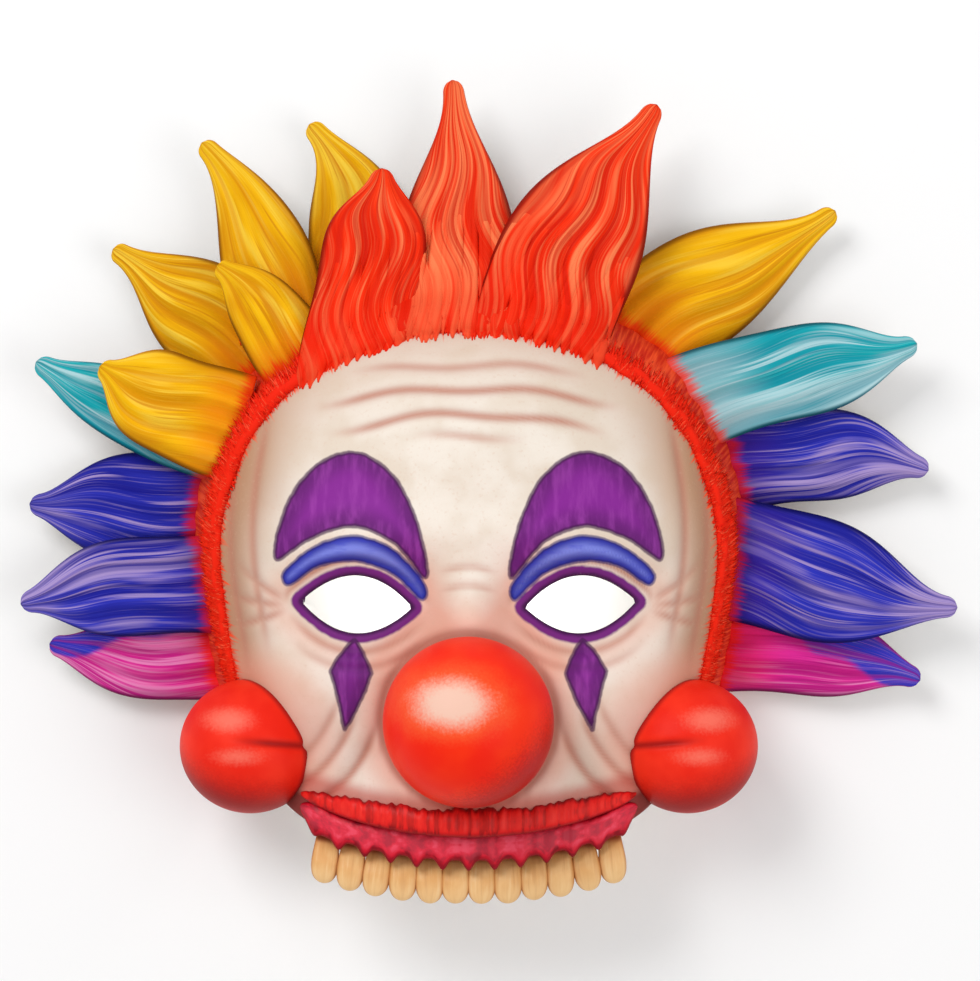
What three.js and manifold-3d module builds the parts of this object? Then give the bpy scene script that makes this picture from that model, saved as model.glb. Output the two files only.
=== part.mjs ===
// A clown half mask of moulded foam, lying face up on its flat rim.
//
// Millimetres. +X is the viewer's right, +Y points to the crown and +Z out of the face.
// The rim rests on z = 0, and the origin is under the middle of the mask's box.

import * as THREE from "three";
import { mergeVertices } from "three/addons/utils/BufferGeometryUtils.js";
import Module from "manifold-3d";

const wasm = await Module();
wasm.setup();

// Driving dimensions
const FACE_WALL = 2.5;
const HAIR_WALL = 3;
const GAP = 0.3; // clearance between neighbouring pieces
const OVERALL_WIDTH = 281; // tip to tip of the side hair
const OVERALL_HEIGHT = 246; // top tuft to the teeth
const MIDLINE_X = -6; // the hair reaches further to the right of the face than to the left

// Face proportions: three equal thirds from hairline to chin, and five eye widths across
const FACE_THIRD = 62;
const FACE_WIDTH = 165;
const HAIRLINE_Y = 44;
const BROW_Y = HAIRLINE_Y - FACE_THIRD;
const NOSE_BASE_Y = BROW_Y - FACE_THIRD;
const CHIN_Y = NOSE_BASE_Y - FACE_THIRD;
const CROWN_Y = CHIN_Y + 3.5 * FACE_THIRD;
const MOUTH_Y = NOSE_BASE_Y - FACE_THIRD / 3;

const EYE = { x: FACE_WIDTH / 5, y: (CROWN_Y + CHIN_Y) / 2, width: FACE_WIDTH / 5, height: 17, tilt: 3 };
const NOSE = { y: BROW_Y - 0.8 * FACE_THIRD, radius: 25, wall: 2.5, hole: 15, rise: 11 };
const CHEEK = { x: 65, y: NOSE_BASE_Y + 4, z: 30, across: 21, along: 20, deep: 20 };
const MOUTH = { half: 50, smile: 8, lip: 4.3, gum: 4.6, gumDrop: 6.6, toothDrop: 16.3 };
const TOOTH = { count: 12, pitch: 7.7, radius: 3.6, length: 17, flatten: 0.75 };
const ROLL = { radius: 4, share: 0.69, from: -6 };

// The shell's plan outline, right half, from the crown down to the middle of the lip
const OUTLINE = [
  { at: "crown", x: 0, y: 62 },
  { at: "crown side", x: 35, y: 56 },
  { at: "temple", x: 66, y: 36 },
  { at: "side", x: FACE_WIDTH / 2, y: 0 },
  { at: "cheekbone", x: 80, y: -40 },
  { at: "jaw", x: 71, y: -72 },
  { at: "mouth corner", x: 52, y: -95 },
  { at: "lip side", x: 27, y: MOUTH_Y - 5 },
  { at: "lip middle", x: 0, y: MOUTH_Y - 8 },
];

// The front of the face is a shallow dome. Its sides roll over to the rim, and the mouth's edge stays up.
const FRONT = { peak: 59, peakY: -12, acrossCurve: 0.0034, alongCurve: 0.0018 };
const ROLL_OVER = { start: 5, end: 2.2 };
const MOUTH_SECTOR = { from: 4, to: 34 }; // degrees below the level of the nose

// Rises and hollows of the face. Those off the middle line come in pairs.
const FEATURES = [
  { name: "forehead", x: 0, y: 22, across: 48, along: 26, rise: 3, tilt: 0 },
  { name: "brow", x: 31, y: BROW_Y + 3, across: 21, along: 8, rise: 5, tilt: -5 },
  { name: "eye socket", x: EYE.x, y: EYE.y - 1, across: 23, along: 13, rise: -7, tilt: 0 },
  { name: "nose bridge", x: 0, y: EYE.y - 12, across: 10, along: 20, rise: 8, tilt: 0 },
  { name: "cheekbone", x: 48, y: NOSE_BASE_Y + 18, across: 20, along: 14, rise: 4, tilt: 0 },
  { name: "smile fold", x: 35, y: NOSE_BASE_Y - 4, across: 5, along: 15, rise: -3, tilt: 40 },
  { name: "muzzle", x: 0, y: MOUTH_Y + 8, across: 40, along: 15, rise: 8, tilt: 0 },
];

// Hair tufts, viewer's left to right. Root and tip are measured from the face's middle line, bow bends the
// first and the second half of the spine to its left, full is how long a tuft keeps its width, layer is its
// place from back to front, and lift, where it has one, raises its root.
const LAYER_HEIGHTS = [7.5, 15.2, 22.9];
const LEFT_TIP = -OVERALL_WIDTH / 2 - MIDLINE_X + 0.4;
const RIGHT_TIP = OVERALL_WIDTH / 2 - MIDLINE_X - 0.4;
const TOP_TIP = OVERALL_HEIGHT / 2 - 0.2;
const TUFTS = [
  { name: "pink_left", root: [-74, -50], tip: [-126, -46], bow: [2, 4], width: 25, full: 6.2, layer: 0 },
  { name: "blue_left_low", root: [-76, -29], tip: [LEFT_TIP, -34], bow: [-2, -4], width: 30, full: 6.6, layer: 1 },
  { name: "blue_left_high", root: [-78, -4], tip: [-132, -4], bow: [0, 3], width: 33, full: 6.4, layer: 0 },
  { name: "teal_left", root: [-76, 16], tip: [-129.5, 38.5], bow: [1, 3], width: 25, full: 5.6, layer: 1 },
  { name: "yellow_left_low", root: [-78, 23], tip: [-110, 37], bow: [3, 2], width: 32, full: 6.6, layer: 2 },
  { name: "yellow_left_mid", root: [-70, 45], tip: [-107, 72.5], bow: [0, -2], width: 35, full: 3.6, layer: 0 },
  { name: "yellow_left_front", root: [-57, 46], tip: [-75, 67], bow: [-1, -4], width: 24, full: 4.6, layer: 2 },
  { name: "yellow_left_high", root: [-60, 57], tip: [-80, 104], bow: [-5, -8], width: 28, full: 3.9, layer: 1 },
  { name: "yellow_left_top", root: [-38, 64], tip: [-48, 110], bow: [-10, -11], width: 33, full: 3.8, layer: 0 },
  { name: "red_left", root: [-33, 47], tip: [-26, 96], bow: [0, -3], width: 32, full: 7.4, layer: 2, lift: 7 },
  { name: "red_middle", root: [-4, 48], tip: [-5, TOP_TIP], bow: [0, -3], width: 40, full: 3.4, layer: 1, lift: 7 },
  { name: "red_right", root: [24, 47], tip: [56, 115], bow: [9, 2], width: 43, full: 4.2, layer: 2, lift: 7 },
  { name: "yellow_right", root: [55, 47], tip: [110, 84], bow: [8, -2], width: 36, full: 3.8, layer: 0 },
  { name: "teal_right", root: [75, 28], tip: [134, 44], bow: [5, -2], width: 29, full: 5.8, layer: 1 },
  { name: "blue_right_high", root: [84, 6], tip: [138, 6], bow: [6, 7], width: 29, full: 5.6, layer: 0 },
  { name: "blue_right_low", root: [84, -22], tip: [RIGHT_TIP, -35], bow: [2, -4], width: 38, full: 4.6, layer: 1 },
  { name: "pink_right", root: [82, -49], tip: [135.5, -57], bow: [4, 5], width: 27, full: 5.4, layer: 0 },
];
const TUFT_STATIONS = [0, 0.25, 0.45, 0.63, 0.78, 0.9, 0.96, 1];
const TUFT_NUB = 6.2; // width of a tuft's blunt tip
const TUFT_END = 0.55; // share of that width at the very end
const TUFT_FLARE = 2.6; // how hollow a tuft's sides are towards the tip

// A tuft's front across its width: place from edge to edge, and height as a share of the crown
const TUFT_RIBS = [
  { across: -1, height: 0 },
  { across: -0.62, height: 0.92 },
  { across: -0.3, height: 0.66 },
  { across: 0.05, height: 1.1 },
  { across: 0.45, height: 0.62 },
  { across: 1, height: 0 },
];
const TUFT_CROWN = 4;
const TUFT_SINK = 12; // how far the root starts inside the shell before it is trimmed to it
const TUFT_TIP_LIFT = 4;

const COLUMNS = 48; // facets round the shell
const RINGS = 12; // facets from the nose to the rim

// Materials, by colour group
const foam = (color, roughness) => new THREE.MeshStandardMaterial({ color, roughness, metalness: 0 });
const MATERIALS = {
  skin: foam(0xf0e2d4, 0.7),
  red: foam(0xf23a16, 0.6),
  nose: foam(0xf22c0a, 0.45),
  lip: foam(0xd01c26, 0.5),
  gum: foam(0xd6183a, 0.45),
  tooth: foam(0xe6aa6c, 0.55),
  yellow: foam(0xe8b421, 0.65),
  teal: foam(0x1ba9b2, 0.65),
  blue: foam(0x2d2ea0, 0.65),
  pink: foam(0xcc2f88, 0.65),
};

// Solids

function solidFrom(vertProperties, triVerts) {
  return new wasm.Manifold(new wasm.Mesh({ numProp: 3, vertProperties, triVerts }));
}

function solidOf(geometry) {
  geometry.deleteAttribute("normal");
  geometry.deleteAttribute("uv");
  const merged = mergeVertices(geometry, 1e-4);
  return solidFrom(merged.attributes.position.array, new Uint32Array(merged.index.array));
}

// The main body of a solid, without the crumbs that trimming leaves
function mainBody(solid) {
  return solid.decompose().reduce((best, body) => (body.volume() > best.volume() ? body : best));
}

function meshOf(name, solid, material) {
  const { vertProperties, triVerts } = mainBody(solid).translate([MIDLINE_X, 0, 0]).getMesh();
  const geometry = new THREE.BufferGeometry();
  geometry.setAttribute("position", new THREE.BufferAttribute(vertProperties, 3));
  geometry.setIndex(new THREE.BufferAttribute(triVerts, 1));
  geometry.computeVertexNormals();
  const mesh = new THREE.Mesh(geometry, material);
  mesh.name = name;
  return mesh;
}

// Skins a run of equal rings. A looped run closes on itself, and any other is capped at both ends.
function loft(rings, looped = false) {
  const count = rings[0].length;
  const points = rings.flat();
  const triangles = [];
  const spans = looped ? rings.length : rings.length - 1;
  for (let i = 0; i < spans; i++) {
    const here = i * count;
    const next = ((i + 1) % rings.length) * count;
    for (let j = 0; j < count; j++) {
      const k = (j + 1) % count;
      triangles.push(here + j, here + k, next + k, here + j, next + k, next + j);
    }
  }
  if (!looped) {
    capRing(points, triangles, 0, count, false);
    capRing(points, triangles, (rings.length - 1) * count, count, true);
  }
  const solid = solidFrom(new Float32Array(points.flatMap((p) => p.toArray())), new Uint32Array(triangles));
  return solid.volume() > 0 ? solid : loft([...rings].reverse(), looped);
}

function capRing(points, triangles, first, count, last) {
  const ring = points.slice(first, first + count);
  const middle = ring.reduce((sum, p) => sum.add(p), new THREE.Vector3()).divideScalar(count);
  points.push(middle);
  const hub = points.length - 1;
  for (let j = 0; j < count; j++) {
    const a = first + j;
    const b = first + ((j + 1) % count);
    triangles.push(hub, ...(last ? [a, b] : [b, a]));
  }
}

// The face's surface, over rays that run from the nose to the rim

const smoothStep = (low, high, value) => THREE.MathUtils.smoothstep(value, low, high);

function rimTable() {
  const right = OUTLINE.map(({ x, y }) => new THREE.Vector3(x, y, 0));
  const left = right.slice(1, -1).reverse().map((p) => new THREE.Vector3(-p.x, p.y, 0));
  const curve = new THREE.CatmullRomCurve3([...right, ...left], true, "centripetal");
  const middle = new THREE.Vector3(0, NOSE.y, 0);
  return curve
    .getSpacedPoints(1440)
    .map((p) => p.sub(middle))
    .map((p) => ({ angle: Math.atan2(p.y, p.x), reach: Math.hypot(p.x, p.y) }))
    .sort((a, b) => a.angle - b.angle);
}

const RIM = rimTable();

function rimReach(angle) {
  const wrapped = Math.atan2(Math.sin(angle), Math.cos(angle));
  const above = RIM.findIndex((entry) => entry.angle >= wrapped);
  const b = RIM[above < 0 ? RIM.length - 1 : above];
  const a = RIM[Math.max(0, (above < 0 ? RIM.length : above) - 1)];
  const span = b.angle - a.angle;
  return span > 1e-9 ? a.reach + ((b.reach - a.reach) * (wrapped - a.angle)) / span : b.reach;
}

function featureRise(feature, x, y) {
  const tilt = THREE.MathUtils.degToRad(feature.tilt);
  const dx = x - feature.x;
  const dy = y - feature.y;
  const u = (dx * Math.cos(tilt) + dy * Math.sin(tilt)) / feature.across;
  const v = (dy * Math.cos(tilt) - dx * Math.sin(tilt)) / feature.along;
  return feature.rise * Math.exp(-u * u - v * v);
}

function frontHeight(x, y) {
  const dome = FRONT.peak - FRONT.acrossCurve * x * x - FRONT.alongCurve * (y - FRONT.peakY) ** 2;
  return FEATURES.reduce((z, feature) => {
    const mirrored = feature.x ? featureRise(feature, -x, y) : 0;
    return z + featureRise(feature, x, y) + mirrored;
  }, dome);
}

function mouthShare(angle) {
  const below = THREE.MathUtils.radToDeg(Math.atan2(-Math.sin(angle), Math.abs(Math.cos(angle))));
  return smoothStep(MOUTH_SECTOR.from, MOUTH_SECTOR.to, below);
}

function faceHeight(x, y) {
  const angle = Math.atan2(y - NOSE.y, x);
  const outward = Math.min(1, Math.hypot(x, y - NOSE.y) / rimReach(angle));
  const kept = (1 - outward ** ROLL_OVER.start) ** (1 / ROLL_OVER.end);
  const mouth = mouthShare(angle);
  return frontHeight(x, y) * (mouth + (1 - mouth) * kept);
}

// Share 0 is the edge of the nose hole, and share 1 is the rim.
function facePoint(angle, share) {
  const reach = rimReach(angle);
  const r = NOSE.hole + (reach - NOSE.hole) * Math.sin((share * Math.PI) / 2);
  const x = r * Math.cos(angle);
  const y = NOSE.y + r * Math.sin(angle);
  return new THREE.Vector3(x, y, faceHeight(x, y));
}

function faceNormal(angle, share) {
  const step = 0.01;
  const outer = Math.min(1, share + step);
  const inner = Math.max(0, share - step);
  const along = facePoint(angle, outer).sub(facePoint(angle, inner));
  const round = facePoint(angle + step, share).sub(facePoint(angle - step, share));
  return along.cross(round).normalize();
}

function columnAngles() {
  const turn = (2 * Math.PI) / COLUMNS;
  return Array.from({ length: COLUMNS }, (_, i) => Math.PI / 2 + turn * i);
}

// A ring of the face, moved off the surface. The rim stays flat where it rests.
function faceRing(share, offset) {
  return columnAngles().map((angle) => {
    const p = facePoint(angle, share).addScaledVector(faceNormal(angle, share), offset);
    p.z = Math.max(p.z, 0);
    return p;
  });
}

const ringShares = Array.from({ length: RINGS + 1 }, (_, i) => i / RINGS);

// Everything under the face's outer surface, grown by the gap, for trimming what sits on it
function coreSolid() {
  const rings = ringShares.map((share) => faceRing(share, GAP));
  const skirt = { reach: 26, drop: 40 };
  const apron = columnAngles().map((angle) => {
    const reach = rimReach(angle) + GAP + skirt.reach * mouthShare(angle);
    const x = reach * Math.cos(angle);
    const y = NOSE.y + reach * Math.sin(angle);
    return new THREE.Vector3(x, y, faceHeight(x, y) + GAP - 1.5 * (1 - mouthShare(angle)));
  });
  const under = apron.map((p) => new THREE.Vector3(p.x, p.y, p.z - skirt.drop));
  return loft([...rings, apron, under]);
}

const core = coreSolid();

// Pieces of the face

function eyeCutter(side) {
  const half = EYE.width / 2;
  const shape = new THREE.Shape();
  shape.moveTo(-half, 0);
  shape.quadraticCurveTo(0, EYE.height, half, 0);
  shape.quadraticCurveTo(0, -EYE.height, -half, 0);
  const prism = new THREE.ExtrudeGeometry(shape, { depth: 70, bevelEnabled: false, curveSegments: 7 });
  prism.rotateZ(THREE.MathUtils.degToRad(side * EYE.tilt));
  prism.translate(side * EYE.x, EYE.y, 20);
  return solidOf(prism);
}

function faceShell() {
  const outer = ringShares.map((share) => faceRing(share, 0));
  const inner = ringShares.map((share) => faceRing(share, -FACE_WALL)).reverse();
  const shell = loft([...outer, ...inner], true);
  return shell.subtract(eyeCutter(-1)).subtract(eyeCutter(1));
}

function ball(radiusX, radiusY, radiusZ, centre, around, over) {
  const geometry = new THREE.SphereGeometry(1, around, over);
  geometry.rotateX(Math.PI / 2);
  geometry.scale(radiusX, radiusY, radiusZ);
  geometry.translate(...centre);
  return solidOf(geometry);
}

function noseBall() {
  const centre = [0, NOSE.y, frontHeight(0, NOSE.y) + NOSE.rise];
  const outside = NOSE.radius;
  const inside = NOSE.radius - NOSE.wall;
  const skin = ball(outside, outside, outside, centre, 20, 12);
  return skin.subtract(ball(inside, inside, inside, centre, 14, 10)).subtract(core);
}

function cheekBall(side, grow) {
  const centre = [side * CHEEK.x, CHEEK.y, CHEEK.z];
  return ball(CHEEK.across + grow, CHEEK.along + grow, CHEEK.deep + grow, centre, 18, 12);
}

function cheekPad(side) {
  return cheekBall(side, 0).subtract(core).subtract(lipStrip(GAP));
}

function lipY(x) {
  return MOUTH_Y + 3 + MOUTH.smile * (x / MOUTH.half) ** 2;
}

// A strip across the mouth with an oval section that thins towards the corners
function mouthStrip(drop, tall, deep, grow) {
  const stations = 16;
  const sides = 10;
  const rings = Array.from({ length: stations + 1 }, (_, i) => {
    const s = (2 * i) / stations - 1;
    const x = MOUTH.half * s;
    const y = lipY(x) - drop;
    const middle = new THREE.Vector3(x, y, faceHeight(x, y));
    const size = Math.sqrt(1 - 0.86 * s * s);
    return Array.from({ length: sides }, (_, j) => {
      const turn = (2 * Math.PI * j) / sides;
      const up = (tall * size + grow) * Math.cos(turn);
      const out = (deep * size + grow) * Math.sin(turn);
      return middle.clone().add(new THREE.Vector3(0, up, out));
    });
  });
  return loft(rings);
}

const lipStrip = (grow) => mouthStrip(0, MOUTH.lip, 4.2, grow);
const gumStrip = (grow) => mouthStrip(MOUTH.gumDrop, MOUTH.gum, 3.2, grow);

function tooth(index) {
  const x = (index - (TOOTH.count - 1) / 2) * TOOTH.pitch;
  const y = lipY(x) - MOUTH.toothDrop;
  const slope = (2 * MOUTH.smile * x) / MOUTH.half ** 2;
  const peg = new THREE.CapsuleGeometry(TOOTH.radius, TOOTH.length - 2 * TOOTH.radius, 3, 8);
  peg.scale(1, 1, TOOTH.flatten);
  peg.rotateZ(slope / 2);
  peg.translate(x, y, faceHeight(x, y) + TOOTH.radius * TOOTH.flatten);
  return solidOf(peg).subtract(core).subtract(gumStrip(GAP)).subtract(lipStrip(GAP));
}

// The furry roll that follows the hairline from cheek to cheek
function rollTube(grow) {
  const stations = 30;
  const sides = 8;
  const sweep = 180 - 2 * ROLL.from;
  const rings = Array.from({ length: stations + 1 }, (_, i) => {
    const angle = THREE.MathUtils.degToRad(ROLL.from + (sweep * i) / stations);
    const middle = facePoint(angle, ROLL.share);
    const out = faceNormal(angle, ROLL.share);
    const side = new THREE.Vector3(-Math.sin(angle), Math.cos(angle), 0).cross(out).normalize();
    const size = grow + ROLL.radius * Math.sqrt(Math.min(1, 0.15 + i / 4, 0.15 + (stations - i) / 4));
    return Array.from({ length: sides }, (_, j) => {
      const turn = (2 * Math.PI * j) / sides;
      return middle
        .clone()
        .addScaledVector(out, size * Math.sin(turn))
        .addScaledVector(side, size * Math.cos(turn));
    });
  });
  return loft(rings);
}

function hairlineRoll() {
  return rollTube(0).subtract(core).subtract(cheekBall(-1, GAP)).subtract(cheekBall(1, GAP));
}

// Hair

function tuftSpine(row) {
  const level = LAYER_HEIGHTS[row.layer];
  const tip = new THREE.Vector3(...row.tip, level + TUFT_TIP_LIFT);
  const way = new THREE.Vector3(...row.tip, 0).sub(new THREE.Vector3(...row.root, 0)).normalize();
  const root = new THREE.Vector3(...row.root, level + (row.lift ?? 0)).addScaledVector(way, -TUFT_SINK);
  const sideways = new THREE.Vector3(-way.y, way.x, 0);
  const third = root.clone().lerp(tip, 0.36).addScaledVector(sideways, row.bow[0]);
  const twoThirds = root.clone().lerp(tip, 0.7).addScaledVector(sideways, row.bow[1]);
  return new THREE.CubicBezierCurve3(root, third, twoThirds.setZ(level), tip);
}

function tuftBody(row, grow) {
  const spine = tuftSpine(row);
  const rings = TUFT_STATIONS.map((along) => {
    const middle = spine.getPoint(along);
    const forward = spine.getTangent(along);
    const across = new THREE.Vector3(-forward.y, forward.x, 0).normalize();
    const nub = TUFT_NUB / row.width;
    const share = (nub + (1 - nub) * (1 - along ** row.full) ** TUFT_FLARE) * (along < 1 ? 1 : TUFT_END);
    const half = (row.width * share) / 2 + grow;
    const crown = TUFT_CROWN * share;
    const wall = HAIR_WALL * (0.4 + 0.6 * Math.sqrt(share));
    const place = (rib, z) => middle.clone().addScaledVector(across, rib.across * half).setZ(middle.z + z);
    const front = TUFT_RIBS.map((rib) => place(rib, rib.height * crown + grow));
    const back = TUFT_RIBS.map((rib) => place(rib, rib.height * crown - wall - grow));
    return [...front, ...back.reverse()];
  });
  return loft(rings);
}

function tuft(row) {
  return tuftBody(row, 0).subtract(core).subtract(rollTube(GAP));
}

// The assembled mask

const mask = new THREE.Group();
mask.add(meshOf("face_shell", faceShell(), MATERIALS.skin));
mask.add(meshOf("nose", noseBall(), MATERIALS.nose));
mask.add(meshOf("cheek_left", cheekPad(-1), MATERIALS.nose));
mask.add(meshOf("cheek_right", cheekPad(1), MATERIALS.nose));
mask.add(meshOf("upper_lip", lipStrip(0).subtract(core), MATERIALS.lip));
mask.add(meshOf("gum", gumStrip(0).subtract(core).subtract(lipStrip(GAP)), MATERIALS.gum));
for (let i = 0; i < TOOTH.count; i++) {
  mask.add(meshOf(`tooth_${String(i + 1).padStart(2, "0")}`, tooth(i), MATERIALS.tooth));
}
mask.add(meshOf("hairline_roll", hairlineRoll(), MATERIALS.red));
for (const row of TUFTS) {
  const inFront = TUFTS.filter((other) => other.layer === row.layer && other.lift && !row.lift);
  const trimmed = inFront.reduce((solid, other) => solid.subtract(tuftBody(other, GAP)), tuft(row));
  mask.add(meshOf(`hair_${row.name}`, trimmed, MATERIALS[row.name.split("_")[0]]));
}

export default mask;
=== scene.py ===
"""The looks of a moulded foam clown half mask that lies face up.

Shapes are worked out in millimetres from the solid's own values, about the face's middle line.
"""

import math

import bpy
import numpy as np
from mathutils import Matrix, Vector


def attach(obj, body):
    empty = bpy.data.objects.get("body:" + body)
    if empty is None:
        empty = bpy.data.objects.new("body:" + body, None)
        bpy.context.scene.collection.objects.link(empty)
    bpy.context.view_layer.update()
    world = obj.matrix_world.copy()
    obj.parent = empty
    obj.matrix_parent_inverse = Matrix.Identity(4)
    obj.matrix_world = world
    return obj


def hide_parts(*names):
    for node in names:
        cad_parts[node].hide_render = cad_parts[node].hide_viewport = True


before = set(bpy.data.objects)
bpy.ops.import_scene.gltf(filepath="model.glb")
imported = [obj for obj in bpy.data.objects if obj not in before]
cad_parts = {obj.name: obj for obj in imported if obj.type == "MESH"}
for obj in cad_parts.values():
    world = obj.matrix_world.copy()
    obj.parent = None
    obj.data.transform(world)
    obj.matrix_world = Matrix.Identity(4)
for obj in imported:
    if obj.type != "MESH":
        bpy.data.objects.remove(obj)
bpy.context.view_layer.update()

MM = 0.001
rng = np.random.default_rng(11)

# Values shared with the solid
MIDLINE_X = -6.0
FACE_WALL, HAIR_WALL = 2.5, 3.0
OVERALL_WIDTH, OVERALL_HEIGHT = 281.0, 246.0
FACE_THIRD, FACE_WIDTH, HAIRLINE_Y = 62.0, 165.0, 44.0
BROW_Y = HAIRLINE_Y - FACE_THIRD
NOSE_BASE_Y = BROW_Y - FACE_THIRD
CHIN_Y = NOSE_BASE_Y - FACE_THIRD
CROWN_Y = CHIN_Y + 3.5 * FACE_THIRD
MOUTH_Y = NOSE_BASE_Y - FACE_THIRD / 3
EYE_X, EYE_Y = FACE_WIDTH / 5, (CROWN_Y + CHIN_Y) / 2
EYE_WIDTH, EYE_HEIGHT, EYE_TILT = FACE_WIDTH / 5, 17.0, 3.0
NOSE_Y, NOSE_RADIUS, NOSE_WALL, NOSE_HOLE, NOSE_RISE = BROW_Y - 0.8 * FACE_THIRD, 25.0, 2.5, 15.0, 11.0
CHEEK = np.array([65.0, NOSE_BASE_Y + 4, 30.0])
CHEEK_RADII = np.array([21.0, 20.0, 20.0])
MOUTH_HALF, SMILE, LIP_TALL, GUM_TALL, GUM_DROP, TOOTH_DROP = 50.0, 8.0, 4.3, 4.6, 6.6, 16.3
TOOTH_COUNT, TOOTH_PITCH, TOOTH_RADIUS, TOOTH_LENGTH, TOOTH_FLATTEN = 12, 7.7, 3.6, 17.0, 0.75
ROLL_RADIUS, ROLL_SHARE, ROLL_FROM = 4.0, 0.69, -6.0
FRONT_PEAK, FRONT_PEAK_Y, ACROSS_CURVE, ALONG_CURVE = 59, -12, 0.0034, 0.0018
ROLL_OVER_START, ROLL_OVER_END = 5, 2.2
MOUTH_SECTOR = (4, 34)  # degrees below the level of the nose

OUTLINE = [(0, 62), (35, 56), (66, 36), (FACE_WIDTH / 2, 0), (80, -40), (71, -72), (52, -95),
           (27, MOUTH_Y - 5), (0, MOUTH_Y - 8)]

# x, y, across, along, rise, tilt
FEATURES = [
    (0, 22, 48, 26, 3, 0),
    (31, BROW_Y + 3, 21, 8, 5, -5),
    (EYE_X, EYE_Y - 1, 23, 13, -7, 0),
    (0, EYE_Y - 12, 10, 20, 8, 0),
    (48, NOSE_BASE_Y + 18, 20, 14, 4, 0),
    (35, NOSE_BASE_Y - 4, 5, 15, -3, 40),
    (0, MOUTH_Y + 8, 40, 15, 8, 0),
]

LAYER_HEIGHTS = [7.5, 15.2, 22.9]
TUFT_CROWN, TUFT_SINK, TUFT_TIP_LIFT, TUFT_NUB, TUFT_FLARE = 4.0, 12.0, 4.0, 6.2, 2.6
LEFT_TIP = -OVERALL_WIDTH / 2 - MIDLINE_X + 0.4
RIGHT_TIP = OVERALL_WIDTH / 2 - MIDLINE_X - 0.4
TOP_TIP = OVERALL_HEIGHT / 2 - 0.2

# name, root, tip, bow, width, full, layer, lift
TUFTS = [
    ("pink_left", (-74, -50), (-126, -46), (2, 4), 25, 6.2, 0, 0),
    ("blue_left_low", (-76, -29), (LEFT_TIP, -34), (-2, -4), 30, 6.6, 1, 0),
    ("blue_left_high", (-78, -4), (-132, -4), (0, 3), 33, 6.4, 0, 0),
    ("teal_left", (-76, 16), (-129.5, 38.5), (1, 3), 25, 5.6, 1, 0),
    ("yellow_left_low", (-78, 23), (-110, 37), (3, 2), 32, 6.6, 2, 0),
    ("yellow_left_mid", (-70, 45), (-107, 72.5), (0, -2), 35, 3.6, 0, 0),
    ("yellow_left_front", (-57, 46), (-75, 67), (-1, -4), 24, 4.6, 2, 0),
    ("yellow_left_high", (-60, 57), (-80, 104), (-5, -8), 28, 3.9, 1, 0),
    ("yellow_left_top", (-38, 64), (-48, 110), (-10, -11), 33, 3.8, 0, 0),
    ("red_left", (-33, 47), (-26, 96), (0, -3), 32, 7.4, 2, 7),
    ("red_middle", (-4, 48), (-5, TOP_TIP), (0, -3), 40, 3.4, 1, 7),
    ("red_right", (24, 47), (56, 115), (9, 2), 43, 4.2, 2, 7),
    ("yellow_right", (55, 47), (110, 84), (8, -2), 36, 3.8, 0, 0),
    ("teal_right", (75, 28), (134, 44), (5, -2), 29, 5.8, 1, 0),
    ("blue_right_high", (84, 6), (138, 6), (6, 7), 29, 5.6, 0, 0),
    ("blue_right_low", (84, -22), (RIGHT_TIP, -35), (2, -4), 38, 4.6, 1, 0),
    ("pink_right", (82, -49), (135.5, -57), (4, 5), 27, 5.4, 0, 0),
]


# Small helpers

def smooth(low, high, value):
    t = np.clip((value - low) / (high - low), 0, 1)
    return t * t * (3 - 2 * t)


def bell(distance, width):
    return np.exp(-((distance / width) ** 2))


def unit(vectors):
    return vectors / np.linalg.norm(vectors, axis=-1, keepdims=True)


def xyz(x, y, z):
    """Three values at each place, as one vector."""
    return np.stack(np.broadcast_arrays(x, y, z), -1)


def cos_sin(degrees):
    return math.cos(math.radians(degrees)), math.sin(math.radians(degrees))


def rounded_end(s, start, length, least=0):
    """One up to a start, and from there down a quarter of an ellipse to the least value's root."""
    return np.sqrt(np.clip(1 - (np.maximum(s - start, 0) / length) ** 2, least, 1))


def full_turn(count):
    return np.linspace(0, 2 * math.pi, count, endpoint=False)


def halve(low, high, is_sunk, rounds):
    """Where lines sink in, between a place on each that hasn't and one that has, by halving."""
    for _ in range(rounds):
        middle = (low + high) / 2
        sunk = is_sunk(middle)
        low, high = np.where(sunk, low, middle), np.where(sunk, middle, high)
    return low


def closed_curve(points, steps):
    """Points along a closed centripetal curve through the given ones."""
    pts = np.array(points, float)
    t = np.linspace(0, 1, steps, endpoint=False)[:, None]
    out = []
    for i in range(len(pts)):
        p0, p1, p2, p3 = (pts[(i + k) % len(pts)] for k in (-1, 0, 1, 2))
        d0, d1, d2 = (np.sum((b - a) ** 2) ** 0.25 for a, b in ((p0, p1), (p1, p2), (p2, p3)))
        t1 = ((p1 - p0) / d0 - (p2 - p0) / (d0 + d1) + (p2 - p1) / d1) * d1
        t2 = ((p2 - p1) / d1 - (p3 - p1) / (d1 + d2) + (p3 - p2) / d2) * d1
        out.append(p1 + t1 * t + (3 * (p2 - p1) - 2 * t1 - t2) * t**2 + (2 * (p1 - p2) + t1 + t2) * t**3)
    return np.concatenate(out)


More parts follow.
